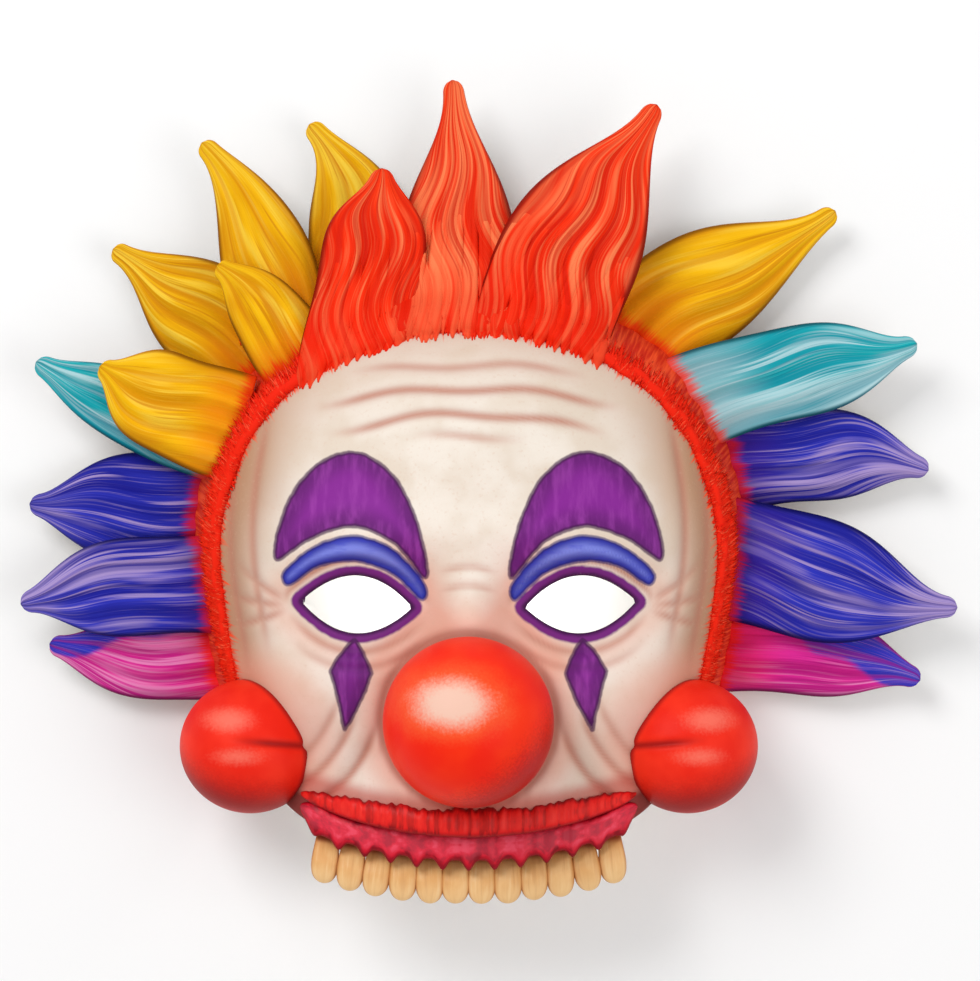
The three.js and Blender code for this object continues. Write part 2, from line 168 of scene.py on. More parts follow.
def edge_facts(x, y, outline):
    """Signed distance to a closed outline, negative inside, and the nearest point on it."""
    x, y = np.asarray(x, float), np.asarray(y, float)
    best = np.full(x.shape, 1e9)
    near_x, near_y = np.zeros(x.shape), np.zeros(x.shape)
    inside = np.zeros(x.shape, bool)
    for (ax, ay), (bx, by) in zip(outline, np.roll(outline, -1, axis=0)):
        ex, ey = bx - ax, by - ay
        t = np.clip(((x - ax) * ex + (y - ay) * ey) / (ex * ex + ey * ey + 1e-12), 0, 1)
        px, py = ax + t * ex, ay + t * ey
        d = np.hypot(x - px, y - py)
        closer = d < best
        best = np.where(closer, d, best)
        near_x, near_y = np.where(closer, px, near_x), np.where(closer, py, near_y)
        if ey != 0:
            inside ^= ((ay > y) != (by > y)) & (x < ex * (y - ay) / ey + ax)
    return np.where(inside, -best, best), near_x, near_y


# The face's surface

right_half = [np.array(p, float) for p in OUTLINE]
left_half = [np.array([-p[0], p[1]]) for p in right_half[-2:0:-1]]
rim = closed_curve(right_half + left_half, 120) - [0, NOSE_Y]
rim_angle, rim_distance = np.arctan2(rim[:, 1], rim[:, 0]), np.hypot(rim[:, 0], rim[:, 1])


def rim_reach(angle):
    return np.interp(angle, rim_angle, rim_distance, period=2 * math.pi)


def front_height(x, y):
    z = FRONT_PEAK - ACROSS_CURVE * x**2 - ALONG_CURVE * (y - FRONT_PEAK_Y) ** 2
    for fx, fy, across, along, rise, tilt in FEATURES:
        c, s = cos_sin(tilt)
        for side in ((1, -1) if fx else (1,)):
            dx, dy = side * x - fx, y - fy
            z = z + rise * np.exp(-(((dx * c + dy * s) / across) ** 2) - ((dy * c - dx * s) / along) ** 2)
    return z


def below_nose(angle):
    """Degrees below the level of the nose, on either side of it."""
    return np.degrees(np.arctan2(-np.sin(angle), np.abs(np.cos(angle))))


def mouth_share(angle):
    return smooth(*MOUTH_SECTOR, below_nose(angle))


def outwardness(x, y):
    angle = np.arctan2(y - NOSE_Y, x)
    return np.hypot(x, y - NOSE_Y) / rim_reach(angle), angle


def face_height(x, y):
    outward, angle = outwardness(x, y)
    kept = (1 - np.minimum(outward, 1) ** ROLL_OVER_START) ** (1 / ROLL_OVER_END)
    mouth = mouth_share(angle)
    return front_height(x, y) * (mouth + (1 - mouth) * kept)


def under_face(p):
    """How far a point lies under the face's outer surface, in height. Negative outside."""
    outward, _ = outwardness(p[..., 0], p[..., 1])
    return np.where(outward < 1, face_height(p[..., 0], p[..., 1]) - p[..., 2], -1.0)


def face_point(angle, share):
    r = NOSE_HOLE + (rim_reach(angle) - NOSE_HOLE) * np.sin(share * math.pi / 2)
    x, y = r * np.cos(angle), NOSE_Y + r * np.sin(angle)
    return xyz(x, y, face_height(x, y))


def face_normal(angle, share):
    step = 0.01
    along = face_point(angle, np.minimum(1, share + step)) - face_point(angle, share - step)
    around = face_point(angle + step, share) - face_point(angle - step, share)
    return unit(np.cross(along, around))


def lip_y(x):
    return MOUTH_Y + 3 + SMILE * (x / MOUTH_HALF) ** 2


def over_brow(angle):
    """One along the forehead, where the hair is long, and none down the sides."""
    return smooth(0.72, 0.95, np.sin(angle))


def up_side(angle):
    """One beside the temple and above it, and none beside the cheek."""
    return smooth(0.1, 0.6, np.sin(angle))


# Paint outlines round an eye, as distance outwards and upwards from its middle

def at_eye(points):
    c, s = cos_sin(EYE_TILT)
    return np.array([(EYE_X + u * c - v * s, EYE_Y + u * s + v * c) for u, v in points])


def arc(u0, v0, u1, v1, rise, count=40):
    """A parabola from one point to another that stands rise above their chord."""
    t = np.linspace(0, 1, count)
    return list(zip(u0 + (u1 - u0) * t, v0 + (v1 - v0) * t + 4 * rise * t * (1 - t)))


half = EYE_WIDTH / 2
ALMOND = at_eye(arc(-half, 0, half, 0, EYE_HEIGHT / 2)[:-1] + arc(half, 0, -half, 0, -EYE_HEIGHT / 2)[:-1])
LID_BAND = at_eye(closed_curve([(-19.5, 2.5), (-10.5, 9.6), (1, 12.8), (12, 10.6), (20.8, 4.6), (22.4, 7.0),
                                (13.5, 16), (1.5, 20), (-10.5, 16.4), (-20.6, 5)], 10))
ARCH = at_eye(closed_curve([(-20, 9), (-16.5, 25), (-8, 39), (3, 44.5), (14, 40), (22, 28), (24.5, 12),
                            (15, 18.5), (2.5, 23), (-10, 19)], 14))
DIAMOND = at_eye(arc(0, -10.5, 6.5, -20, 1) + arc(6.5, -20, 1.5, -37, 1.2)[1:]
                 + arc(1.5, -37, -5.5, -20, -1.2)[1:] + arc(-5.5, -20, 0, -10.5, 1)[1:-1])


# Level, reach, depth and bend of each fold across the forehead
FOREHEAD_FOLDS = ((16, 20, 0.5, 3), (22.5, 44, 0.8, 4), (30, 48, 0.9, 3), (37, 38, 0.6, 2))
FROWN_LEVELS = (-24, -29.5)

# Distance from the eye hole, width and depth of each fold round it, the heights over the eye's middle where
# it comes in, and the distances beside it where it goes out
EYE_FOLDS = ((4.6, 0.9, 0.8, (-1, 3), (25, 17)), (5.5, 1.1, 0.6, (-1, -4), (22, 14)),
             (10.5, 1.2, 0.4, (-3, -7), (22, 10)))
CROW_FEET, CROW_FEET_FROM = (20, -6, -32), 18

# Offset and depth of each fold beside the mouth, and of each at the temple
LAUGH_FOLDS, LAUGH_X, LAUGH_TILT = ((0, 0.9), (7.5, 0.7), (14, 0.5)), 35, 40
TEMPLE_FOLDS, TEMPLE_X, TEMPLE_Y = ((0, 0.6), (7, 0.5)), 61, -12


def relief(x, y):
    """Fine moulding of the face: its height, and how deep in a crease a point is."""
    ax = np.abs(x)
    u, v = ax - EYE_X, y - EYE_Y
    eye, _, _ = edge_facts(ax, y, ALMOND)
    nose = np.hypot(x, y - NOSE_Y)
    rise, crease = np.zeros(x.shape), np.zeros(x.shape)

    def fold(distance, width, depth, where):
        nonlocal rise, crease
        shape = bell(distance, width) * where
        rise = rise - depth * shape
        rise = rise + 0.4 * depth * bell(np.abs(distance) - 2.4 * width, 1.5 * width) * where
        crease = np.maximum(crease, shape * min(1.0, depth / 0.8))

    for level, reach, depth, bend in FOREHEAD_FOLDS:
        wave = level + bend * np.cos(x / 21) - bend + 0.8 * np.sin(x / 6.5 + level)
        fold(y - wave, 1.3, depth, smooth(reach, reach - 18, ax))
    for level in FROWN_LEVELS:
        fold(y - level - 1.5 * np.cos(x / 5), 1.0, 0.45, smooth(10, 4, ax))
    for distance, width, depth, heights, sides in EYE_FOLDS:
        fold(eye - distance, width, depth, smooth(*heights, v) * smooth(*sides, np.abs(u)))
    for turn in CROW_FEET:
        c, s = cos_sin(turn)
        out = u - CROW_FEET_FROM
        along, off = out * c + v * s, v * c - out * s
        fold(off - 0.012 * along**2, 1.2, 0.6, smooth(2, 8, along) * smooth(24, 12, along))
    c, s = cos_sin(LAUGH_TILT)
    dx, dy = ax - LAUGH_X, y - NOSE_BASE_Y + 4
    across, along = dx * c + dy * s, dy * c - dx * s
    for offset, depth in LAUGH_FOLDS:
        fold(across - offset - 0.012 * along**2, 1.2, depth, smooth(19, 9, np.abs(along)))
    fold(nose - NOSE_RADIUS - 0.6, 1.5, 0.8, np.ones(x.shape))
    for offset, depth in TEMPLE_FOLDS:
        level = y - TEMPLE_Y
        bent = ax - TEMPLE_X - offset - 3 * np.cos(level / 17)
        fold(bent, 1.3, depth, smooth(40, 22, np.abs(level + offset)))
    above_lip = y - lip_y(x)
    pleat = 0.5 + 0.5 * np.cos(2 * math.pi * x / 5.4 + 0.8 * np.sin(0.37 * x))
    rise = rise - 0.3 * pleat * smooth(13, 4, above_lip) * smooth(47, 32, ax)
    rise = rise + 1.1 * bell(eye - 1.2, 1.7)
    rise = rise + 0.22 * np.sin(0.21 * x + 1.3 * np.sin(0.13 * y)) * np.sin(0.17 * y + 0.7)
    outward, _ = outwardness(x, y)
    return rise * smooth(1, 0.93, outward), crease


# Meshes

def new_mesh(name, verts, faces):
    mesh = bpy.data.meshes.new(name)
    mesh.from_pydata(np.asarray(verts).tolist(), [], [tuple(map(int, f)) for f in faces])
    return mesh


def new_object(name, data):
    obj = bpy.data.objects.new(name, data)
    bpy.context.scene.collection.objects.link(obj)
    return obj


def piece(name, verts, faces, materials, nodes, attributes, indices=None):
    """Makes a mesh object from millimetres, gives it its paint attributes and sets it on the frame."""
    mesh = new_mesh(name, (np.asarray(verts) + [MIDLINE_X, 0, 0]) * MM, faces)
    for key, values in attributes.items():
        values = np.asarray(values, np.float32)
        kind, field = ("FLOAT", "value") if values.ndim == 1 else ("FLOAT_VECTOR", "vector")
        mesh.attributes.new(key, kind, "POINT").data.foreach_set(field, values.ravel())
    for material in materials:
        mesh.materials.append(material)
    mesh.polygons.foreach_set("use_smooth", np.ones(len(mesh.polygons), bool))
    if indices is not None:
        mesh.polygons.foreach_set("material_index", np.asarray(indices, np.int32))
    mesh.update()
    obj = new_object(name, mesh)
    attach(obj, "root")
    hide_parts(*nodes)
    return obj


def grid_faces(rows, columns):
    """Quads of a grid whose rows close on themselves."""
    i, j = np.meshgrid(np.arange(rows - 1), np.arange(columns), indexing="ij")
    k = (j + 1) % columns
    here, after = i * columns, (i + 1) * columns
    return np.stack([here + j, after + j, after + k, here + k], -1).reshape(-1, 4)


def outward_faces(verts, faces):
    """The faces of a closed mesh, turned to point outwards."""
    volume = 0.0
    for size in (3, 4):
        group = np.array([f for f in faces if len(f) == size], int)
        for k in range(1, size - 1):
            if len(group):
                a, b, c = verts[group[:, 0]], verts[group[:, k]], verts[group[:, k + 1]]
                volume += np.einsum("ij,ij->i", a, np.cross(b, c)).sum()
    return faces if volume > 0 else [tuple(f)[::-1] for f in faces]


def loft(rings):
    """A closed skin over equal rings, with a fan at each end round a hub that follows the rings' points."""
    count, columns = rings.shape[:2]
    verts = np.concatenate([rings.reshape(-1, 3), rings[0].mean(0)[None], rings[-1].mean(0)[None]])
    faces = [tuple(f) for f in grid_faces(count, columns)]
    hub, last = count * columns, (count - 1) * columns
    for j in range(columns):
        k = (j + 1) % columns
        faces.append((hub, j, k))
        faces.append((hub + 1, last + k, last + j))
    return verts, outward_faces(verts, faces)


def with_hubs(values, shape, first, last):
    """Values at the points of a loft whose rings have this shape, with those of its two hubs."""
    return np.concatenate([np.broadcast_to(values, shape).ravel(), [first, last]])


def joined(verts, faces, more_verts, more_faces):
    """Two meshes as one."""
    shifted = [tuple(len(verts) + v for v in f) for f in more_faces]
    return np.concatenate([verts, more_verts]), list(faces) + shifted


def vertex_normals(verts, faces):
    mesh = new_mesh("normals", verts, faces)
    mesh.update()
    normals = np.zeros(len(verts) * 3, np.float32)
    mesh.vertices.foreach_get("normal", normals)
    bpy.data.meshes.remove(mesh)
    return normals.reshape(-1, 3)


def thicken(verts, faces, wall):
    """A skin with its inner side and its edges added. Gives the points, the faces and each one's material."""
    count = len(verts)
    inner = verts - vertex_normals(verts, faces) * wall
    inner[:, 2] = np.maximum(inner[:, 2], 0)
    edges = {(f[i], f[(i + 1) % len(f)]) for f in faces for i in range(len(f))}
    rim_faces = [(b, a, a + count, b + count) for a, b in edges if (b, a) not in edges]
    rim_faces.sort()
    back = [tuple(v + count for v in f[::-1]) for f in faces]
    indices = [0] * len(faces) + [1] * len(back) + [0] * len(rim_faces)
    return np.concatenate([verts, inner]), list(faces) + back + rim_faces, indices


def shell_piece(name, verts, faces, wall, materials, node, attributes):
    """A piece with a wall, from its outer skin. Its inner side has the second material."""
    verts, faces, indices = thicken(verts, faces, wall)
    attributes = {key: np.concatenate([a, a]) for key, a in attributes.items()}
    piece(name, verts, faces, materials, [node], attributes, indices)


# Materials

class Paint:
    """A material's node tree, built by short calls. Each coat of colour goes over the ones before it."""

    def __init__(self, name, roughness, specular):
        self.material = bpy.data.materials.new(name)
        self.material.use_nodes = True
        self.tree = self.material.node_tree
        self.shader = self.tree.nodes["Principled BSDF"]
        self.shader.inputs["Roughness"].default_value = roughness
        self.shader.inputs["Specular IOR Level"].default_value = specular
        self.place = self.node("TexCoord").outputs["Object"]
        self.colour = None

    def feed(self, socket, value):
        if isinstance(value, bpy.types.NodeSocket):
            self.tree.links.new(value, socket)
        elif isinstance(value, tuple) and len(value) == 3 and socket.type == "RGBA":
            socket.default_value = (*value, 1.0)
        else:
            socket.default_value = value

    def node(self, kind, inputs=None, **settings):
        node = self.tree.nodes.new("ShaderNode" + kind)
        for key, value in settings.items():
            setattr(node, key, value)
        for key, value in (inputs or {}).items():
            self.feed(node.inputs[key], value)
        return node

    def math(self, operation, a, b=0.0):
        return self.node("Math", {0: a, 1: b}, operation=operation).outputs[0]

    def times(self, a, b):
        return self.math("MULTIPLY", a, b)

    def frayed(self, value, noise, size):
        """A value that a noise pushes up and down, over this size in all."""
        return self.math("ADD", value, self.times(self.math("SUBTRACT", noise, 0.5), size))

    def step(self, value, low, high, to=1.0):
        inputs = {"Value": value, "From Min": low, "From Max": high, "To Max": to}
        return self.node("MapRange", inputs, interpolation_type="SMOOTHSTEP").outputs["Result"]

    def mix(self, factor, a, b):
        return self.node("Mix", {0: factor, 6: a, 7: b}, data_type="RGBA").outputs[2]

    def ground(self, first, second, value, low, high):
        """The first coat, which goes from one colour to another as a value goes from low to high."""
        self.colour = self.mix(self.step(value, low, high), first, second)

    def coat(self, colour, value, low, high, strength=1.0):
        """A coat that grows to its strength as a value goes from low to high."""
        self.tint(colour, self.step(value, low, high, strength))

    def tint(self, colour, strength):
        self.colour = self.mix(strength, self.colour, colour)

    def vector(self, name):
        return self.node("Attribute", attribute_name=name).outputs["Vector"]

    def parts(self, name):
        return self.node("SeparateXYZ", {0: self.vector(name)}).outputs[:]

    def noise(self, scale, detail, vector=None):
        vector = self.place if vector is None else vector
        return self.node("TexNoise", {"Vector": vector, "Scale": scale, "Detail": detail}).outputs[0]

    def strokes(self, vector, stretch, detail=2):
        """A noise with so many cells to a unit of each part of a vector."""
        return self.noise(1, detail, self.node("Mapping", {"Vector": vector, "Scale": stretch}).outputs[0])

    def finish(self, heights):
        """Links the colour and a run of bumps, each a height, a strength and a depth in millimetres."""
        self.feed(self.shader.inputs["Base Color"], self.colour)
        normal = None
        for height, strength, depth in heights:
            bump = self.node("Bump", {"Height": height, "Strength": strength, "Distance": depth * MM})
            if normal is not None:
                self.feed(bump.inputs["Normal"], normal)
            normal = bump.outputs["Normal"]
        self.feed(self.shader.inputs["Normal"], normal)
        return self.material

    def grain(self):
        """The fine knit and cells of a printed foam skin."""
        return [(self.noise(1500, 3), 0.35, 0.12), (self.noise(420, 2), 0.25, 0.2)]


BARE_FOAM = (0.74, 0.70, 0.63)


def foam_inside():
    p = Paint("foam_inside", 0.85, 0.2)
    cells = p.node("TexVoronoi", {"Vector": p.place, "Scale": 900.0}).outputs["Distance"]
    p.ground((0.72, 0.68, 0.61), (0.80, 0.77, 0.70), p.noise(60, 3), 0.35, 0.65)
    return p.finish([(cells, 0.4, 0.15)])


MAKEUP_FRAY = 0.9  # how far the edges of the make-up wander, in millimetres


def skin_paint():
    p = Paint("painted_skin", 0.62, 0.2)
    violet, blue, eye = p.parts("makeup")
    hair, crease, border = p.parts("shade")
    nose, lip, pink_shade = p.parts("shade_near_parts")
    soft = p.noise(55, 3)
    rough = p.noise(260, 2)
    p.ground((0.76, 0.65, 0.54), (0.86, 0.78, 0.69), soft, 0.35, 0.65)
    # Painted tan shade towards the face's edges, where the surface rolls down, lighter along the forehead
    p.coat((0.47, 0.24, 0.13), p.math("ADD", border, p.times(soft, 0.3)), 0.15, 1.05, 0.95)
    # Painted pinkish shade round the nose's foot, beside the cheek pads and round the eyes
    p.tint((0.77, 0.33, 0.23), p.times(pink_shade, 0.75))
    # Painted shade in the face's creases
    p.tint((0.50, 0.18, 0.12), p.times(crease, 0.8))
    p.coat((0.66, 0.42, 0.30), p.noise(900, 2), 0.55, 0.8, 0.25)
    # Painted dark red shade round the nose's foot
    p.coat((0.34, 0.03, 0.015), nose, 6.5, -1.5, 0.9)
    # Painted shade above the lip, darkest red along the lip's edge
    p.coat((0.52, 0.10, 0.07), lip, 8.5, 3.5, 0.75)
    p.coat((0.16, 0.008, 0.008), lip, 1.0, -2.0, 0.85)

    edge = p.frayed(eye, rough, MAKEUP_FRAY)
    p.coat((0.17, 0.014, 0.19), edge, 3.4, 2.4)
    p.coat((0.03, 0.004, 0.035), edge, 1.6, 0.2, 0.8)

    edge = p.frayed(violet, rough, MAKEUP_FRAY)
    streak = p.strokes(p.place, (420, 90, 200), 3)
    tone = p.mix(p.step(violet, -0.5, -8), (0.13, 0.008, 0.16), (0.24, 0.016, 0.29))
    tone = p.mix(p.step(streak, 0.4, 0.75, 0.55), tone, (0.36, 0.05, 0.40))
    # The violet darkens in the creases, a painted shade
    tone = p.mix(p.times(crease, 0.6), tone, (0.10, 0.008, 0.12))
    p.coat(tone, edge, 0.3, -0.3)
    p.coat((0.06, 0.005, 0.07), p.math("ABSOLUTE", edge), 0.95, 0.35, 0.8)

    edge = p.frayed(blue, rough, MAKEUP_FRAY)
    streak = p.strokes(p.place, (160, 520, 200), 3)
    tone = p.mix(p.step(blue, -0.4, -3.6), (0.025, 0.03, 0.36), (0.22, 0.26, 0.80))
    tone = p.mix(p.step(streak, 0.45, 0.75, 0.45), tone, (0.04, 0.05, 0.55))
    p.coat(tone, edge, 0.3, -0.3)
    p.coat((0.02, 0.015, 0.16), p.math("ABSOLUTE", edge), 0.8, 0.3, 0.7)

    fur = p.strokes(p.vector("polar"), (1.1, 0.13, 0))
    red = p.mix(p.step(fur, 0.35, 0.7), (0.60, 0.012, 0.004), (0.93, 0.085, 0.02))
    p.coat(red, p.frayed(hair, fur, 11.0), -1.6, 1.6)
    return p.finish(p.grain())


def tuft_paint(name, base, light, dark, tip, root, glow, fine, lines, second=None):
    """Hair painted in strokes. Fine is how many fit a millimetre, and lines is how strong the thinnest are.

    Second names the colour that takes over past a tuft's colour border.
    """
    p = Paint("hair_" + name, 0.62, 0.06)
    flow = p.vector("flow")
    _, along, _ = p.parts("flow")
    ridge, edge, front = p.parts("form")
    pale, grown, past = p.parts("tone")
    broad = p.strokes(flow, (0.15, 1.6, 1))
    stroke = p.strokes(flow, (fine, 1.3, 1.3))
    groove = p.strokes(flow, (0.55, 1.2, 1.7))
    thread = p.strokes(flow, (2.3, 2.6, 1))
    shaded = tuple(0.45 * b + 0.55 * d for b, d in zip(base, dark))
    p.ground(shaded, base, broad, 0.34, 0.60)
    p.coat(tip, along, 0.66, 1.0, 0.75)
    whiter = p.times(pale, 0.10)
    p.coat(light, p.math("ADD", stroke, whiter), 0.55, 0.70, 0.88)
    p.coat(light, p.math("ADD", broad, whiter), 0.57, 0.72, 0.6)
    p.coat(dark, groove, 0.42, 0.32, 0.7)
    if second:
        other = HAIR_COLOURS[second]
        streaked = p.mix(p.step(stroke, 0.52, 0.70, 0.6), other["base"], other["light"])
        p.coat(streaked, p.frayed(past, thread, 5.0), -1.6, 1.6)
    p.coat(light, thread, 0.54, 0.70, lines)
    p.coat(dark, thread, 0.45, 0.30, lines)
    # Painted shade in the valleys between the moulded ridges
    p.coat(dark, ridge, -0.45, -0.95, 0.5)
    p.coat(root, along, 0.40, 0.14, 0.6)
    # Painted shade down both sides of the lower part, for roundness and where tufts overlap
    p.tint(dark, p.times(p.step(edge, 0.55, 1.0, 0.55), p.step(along, 0.80, 0.45)))
    # A dark line along the edges, partly a drawn outline and partly painted shade where the edge rounds over
    p.coat(dark, edge, 0.90, 1.0, 0.75)
    # A darker outline round the lower part, partly drawn and partly painted shadow where tufts overlap
    outline = tuple(0.3 * d for d in dark)
    p.tint(outline, p.times(p.step(edge, 0.88, 0.98, 0.8), p.step(along, 0.95, 0.55)))
    p.coat(glow, p.frayed(grown, thread, 7.0), 5.0, 1.0, 0.92)
    p.coat(BARE_FOAM, front, 0.5, 0.4)
    return p.finish([(stroke, 0.25, 0.4), (thread, 0.35, 0.25)] + p.grain())


def fur_paint():
    p = Paint("hairline_fur", 0.62, 0.06)
    length, shade, _ = p.parts("fur")
    p.colour = p.mix(shade, (0.80, 0.010, 0.003), (0.97, 0.034, 0.008))
    p.coat((0.95, 0.14, 0.06), shade, 0.90, 1.0, 0.6)
    # Painted shade at the foot of each hair
    p.coat((0.52, 0.006, 0.003), length, 0.35, 0.0, 0.4)
    return p.finish([(p.noise(1800, 2), 0.3, 0.1)])


def nose_paint():
    p = Paint("painted_nose", 0.45, 0.14)
    highlight_spot, low, contact = p.parts("ball")
    speck = p.noise(1300, 2)
    p.ground((0.90, 0.014, 0.001), (0.95, 0.030, 0.002), p.noise(70, 2), 0.3, 0.7)
    # Painted shade over the ball's lower right
    p.coat((0.38, 0.004, 0.003), p.frayed(low, speck, 0.35), 0.45, 1.0, 0.85)
    # A painted highlight, pale in its middle with an orange rim
    lit = p.frayed(p.frayed(highlight_spot, speck, 0.4), p.noise(150, 3), 0.4)
    p.coat((0.93, 0.12, 0.03), lit, 1.8, 0.9, 0.75)
    p.coat((0.84, 0.58, 0.46), lit, 1.2, 0.4, 0.9)
    # Painted shade where the ball meets the face
    p.coat((0.20, 0.002, 0.002), contact, 4.0, 0.3, 0.85)
    return p.finish(p.grain())


def cheek_paint():
    p = Paint("painted_cheek", 0.48, 0.14)
    highlight_spot, low, crease = p.parts("ball")
    speck = p.noise(1300, 2)
    p.ground((0.84, 0.016, 0.004), (0.93, 0.032, 0.010), p.noise(80, 2), 0.3, 0.7)
    # Painted highlights
    p.coat((0.94, 0.22, 0.15), p.frayed(highlight_spot, speck, 0.8), 1.7, 0.2, 0.65)
    # Painted shade over the lower side, then a lighter red painted reflection along its bottom
    shade = p.frayed(low, speck, 0.25)
    p.coat((0.26, 0.003, 0.003), shade, 0.40, 1.25, 0.85)
    p.coat((0.62, 0.010, 0.005), shade, 1.25, 1.6, 0.5)
    # Painted shade in the fold and where the pad meets the face
    p.tint((0.30, 0.006, 0.006), p.times(crease, 0.85))
    return p.finish(p.grain())


def mouth_paint(name, base, light, dark, spread):
    """Spread stretches the paint's noise over a band's height, along it and towards its edges."""
    p = Paint(name, 0.42, 0.16)
    height, _, edge = p.parts("band")
    lines = p.strokes(p.vector("band"), spread, 3)
    p.ground(dark, base, lines, 0.36, 0.56)
    # Painted highlight along the band's front, and paler streaks away from its edges
    p.coat(light, height, 0.62, 1.0, 0.4)
    p.tint(light, p.times(p.step(lines, 0.52, 0.68), p.step(edge, 0.8, 0.3)))
    # Painted shade towards the band's top and bottom edges
    p.coat(dark, edge, 0.62, 0.98, 0.9)
    return p.finish([(lines, 0.4, 0.4)] + p.grain())


def tooth_paint():
    p = Paint("tooth", 0.42, 0.3)
    along, out, _ = p.parts("tooth")
    side = p.node("Attribute", attribute_name="side").outputs["Fac"]
    mottle = p.strokes(p.vector("tooth"), (2.2, 1.2, 0.8), 3)
    streak = p.strokes(p.vector("tooth"), (1.6, 0.5, 5.0))
    p.ground((0.76, 0.40, 0.14), (0.84, 0.50, 0.21), mottle, 0.3, 0.7)
    p.coat((0.62, 0.29, 0.10), streak, 0.50, 0.72, 0.45)
    p.coat((0.90, 0.62, 0.32), streak, 0.46, 0.28, 0.45)
    # Paler towards the tip; towards the root painted shade under the gum, darkest red at the gum line
    p.coat((0.88, 0.60, 0.30), along, 0.55, 0.9, 0.45)
    p.coat((0.66, 0.24, 0.06), along, 0.46, 0.26, 0.5)
    p.coat((0.32, 0.015, 0.01), along, 0.32, 0.22, 0.85)
    # Painted shade down the tooth's sides
    p.coat((0.50, 0.17, 0.03), side, 0.80, 1.0, 0.75)
    # Painted shade on the back, towards the face
    p.coat((0.40, 0.14, 0.05), out, 0.1, -0.5, 0.8)
    return p.finish(p.grain())


inside_material = foam_inside()
HAIR_COLOURS = {
    "red": dict(base=(0.93, 0.030, 0.003), light=(0.95, 0.24, 0.09), dark=(0.58, 0.010, 0.002),
                tip=(0.93, 0.050, 0.008), root=(0.84, 0.014, 0.002), glow=(0.88, 0.020, 0.003),
                fine=0.5, lines=0.25),
    "yellow": dict(base=(0.90, 0.49, 0.004), light=(0.94, 0.64, 0.06), dark=(0.60, 0.21, 0.002),
                   tip=(0.87, 0.51, 0.010), root=(0.86, 0.22, 0.004), glow=(0.86, 0.035, 0.003),
                   fine=0.45, lines=0.25),
    "teal": dict(base=(0.012, 0.43, 0.48), light=(0.45, 0.67, 0.71), dark=(0.004, 0.22, 0.30),
                 tip=(0.012, 0.44, 0.47), root=(0.34, 0.52, 0.56), glow=(0.80, 0.050, 0.030),
                 fine=0.7, lines=0.35),
    "blue": dict(base=(0.028, 0.036, 0.47), light=(0.42, 0.31, 0.60), dark=(0.010, 0.010, 0.25),
                 tip=(0.10, 0.09, 0.46), root=(0.05, 0.014, 0.28), glow=(0.62, 0.010, 0.030),
                 fine=0.85, lines=0.35),
    "pink": dict(base=(0.78, 0.028, 0.33), light=(0.82, 0.26, 0.54), dark=(0.36, 0.006, 0.16),
                 tip=(0.52, 0.016, 0.25), root=(0.78, 0.016, 0.07), glow=(0.84, 0.014, 0.008),
                 fine=0.85, lines=0.35, second="blue"),
}
hair_materials = {name: tuft_paint(name, **colours) for name, colours in HAIR_COLOURS.items()}


# The face shell

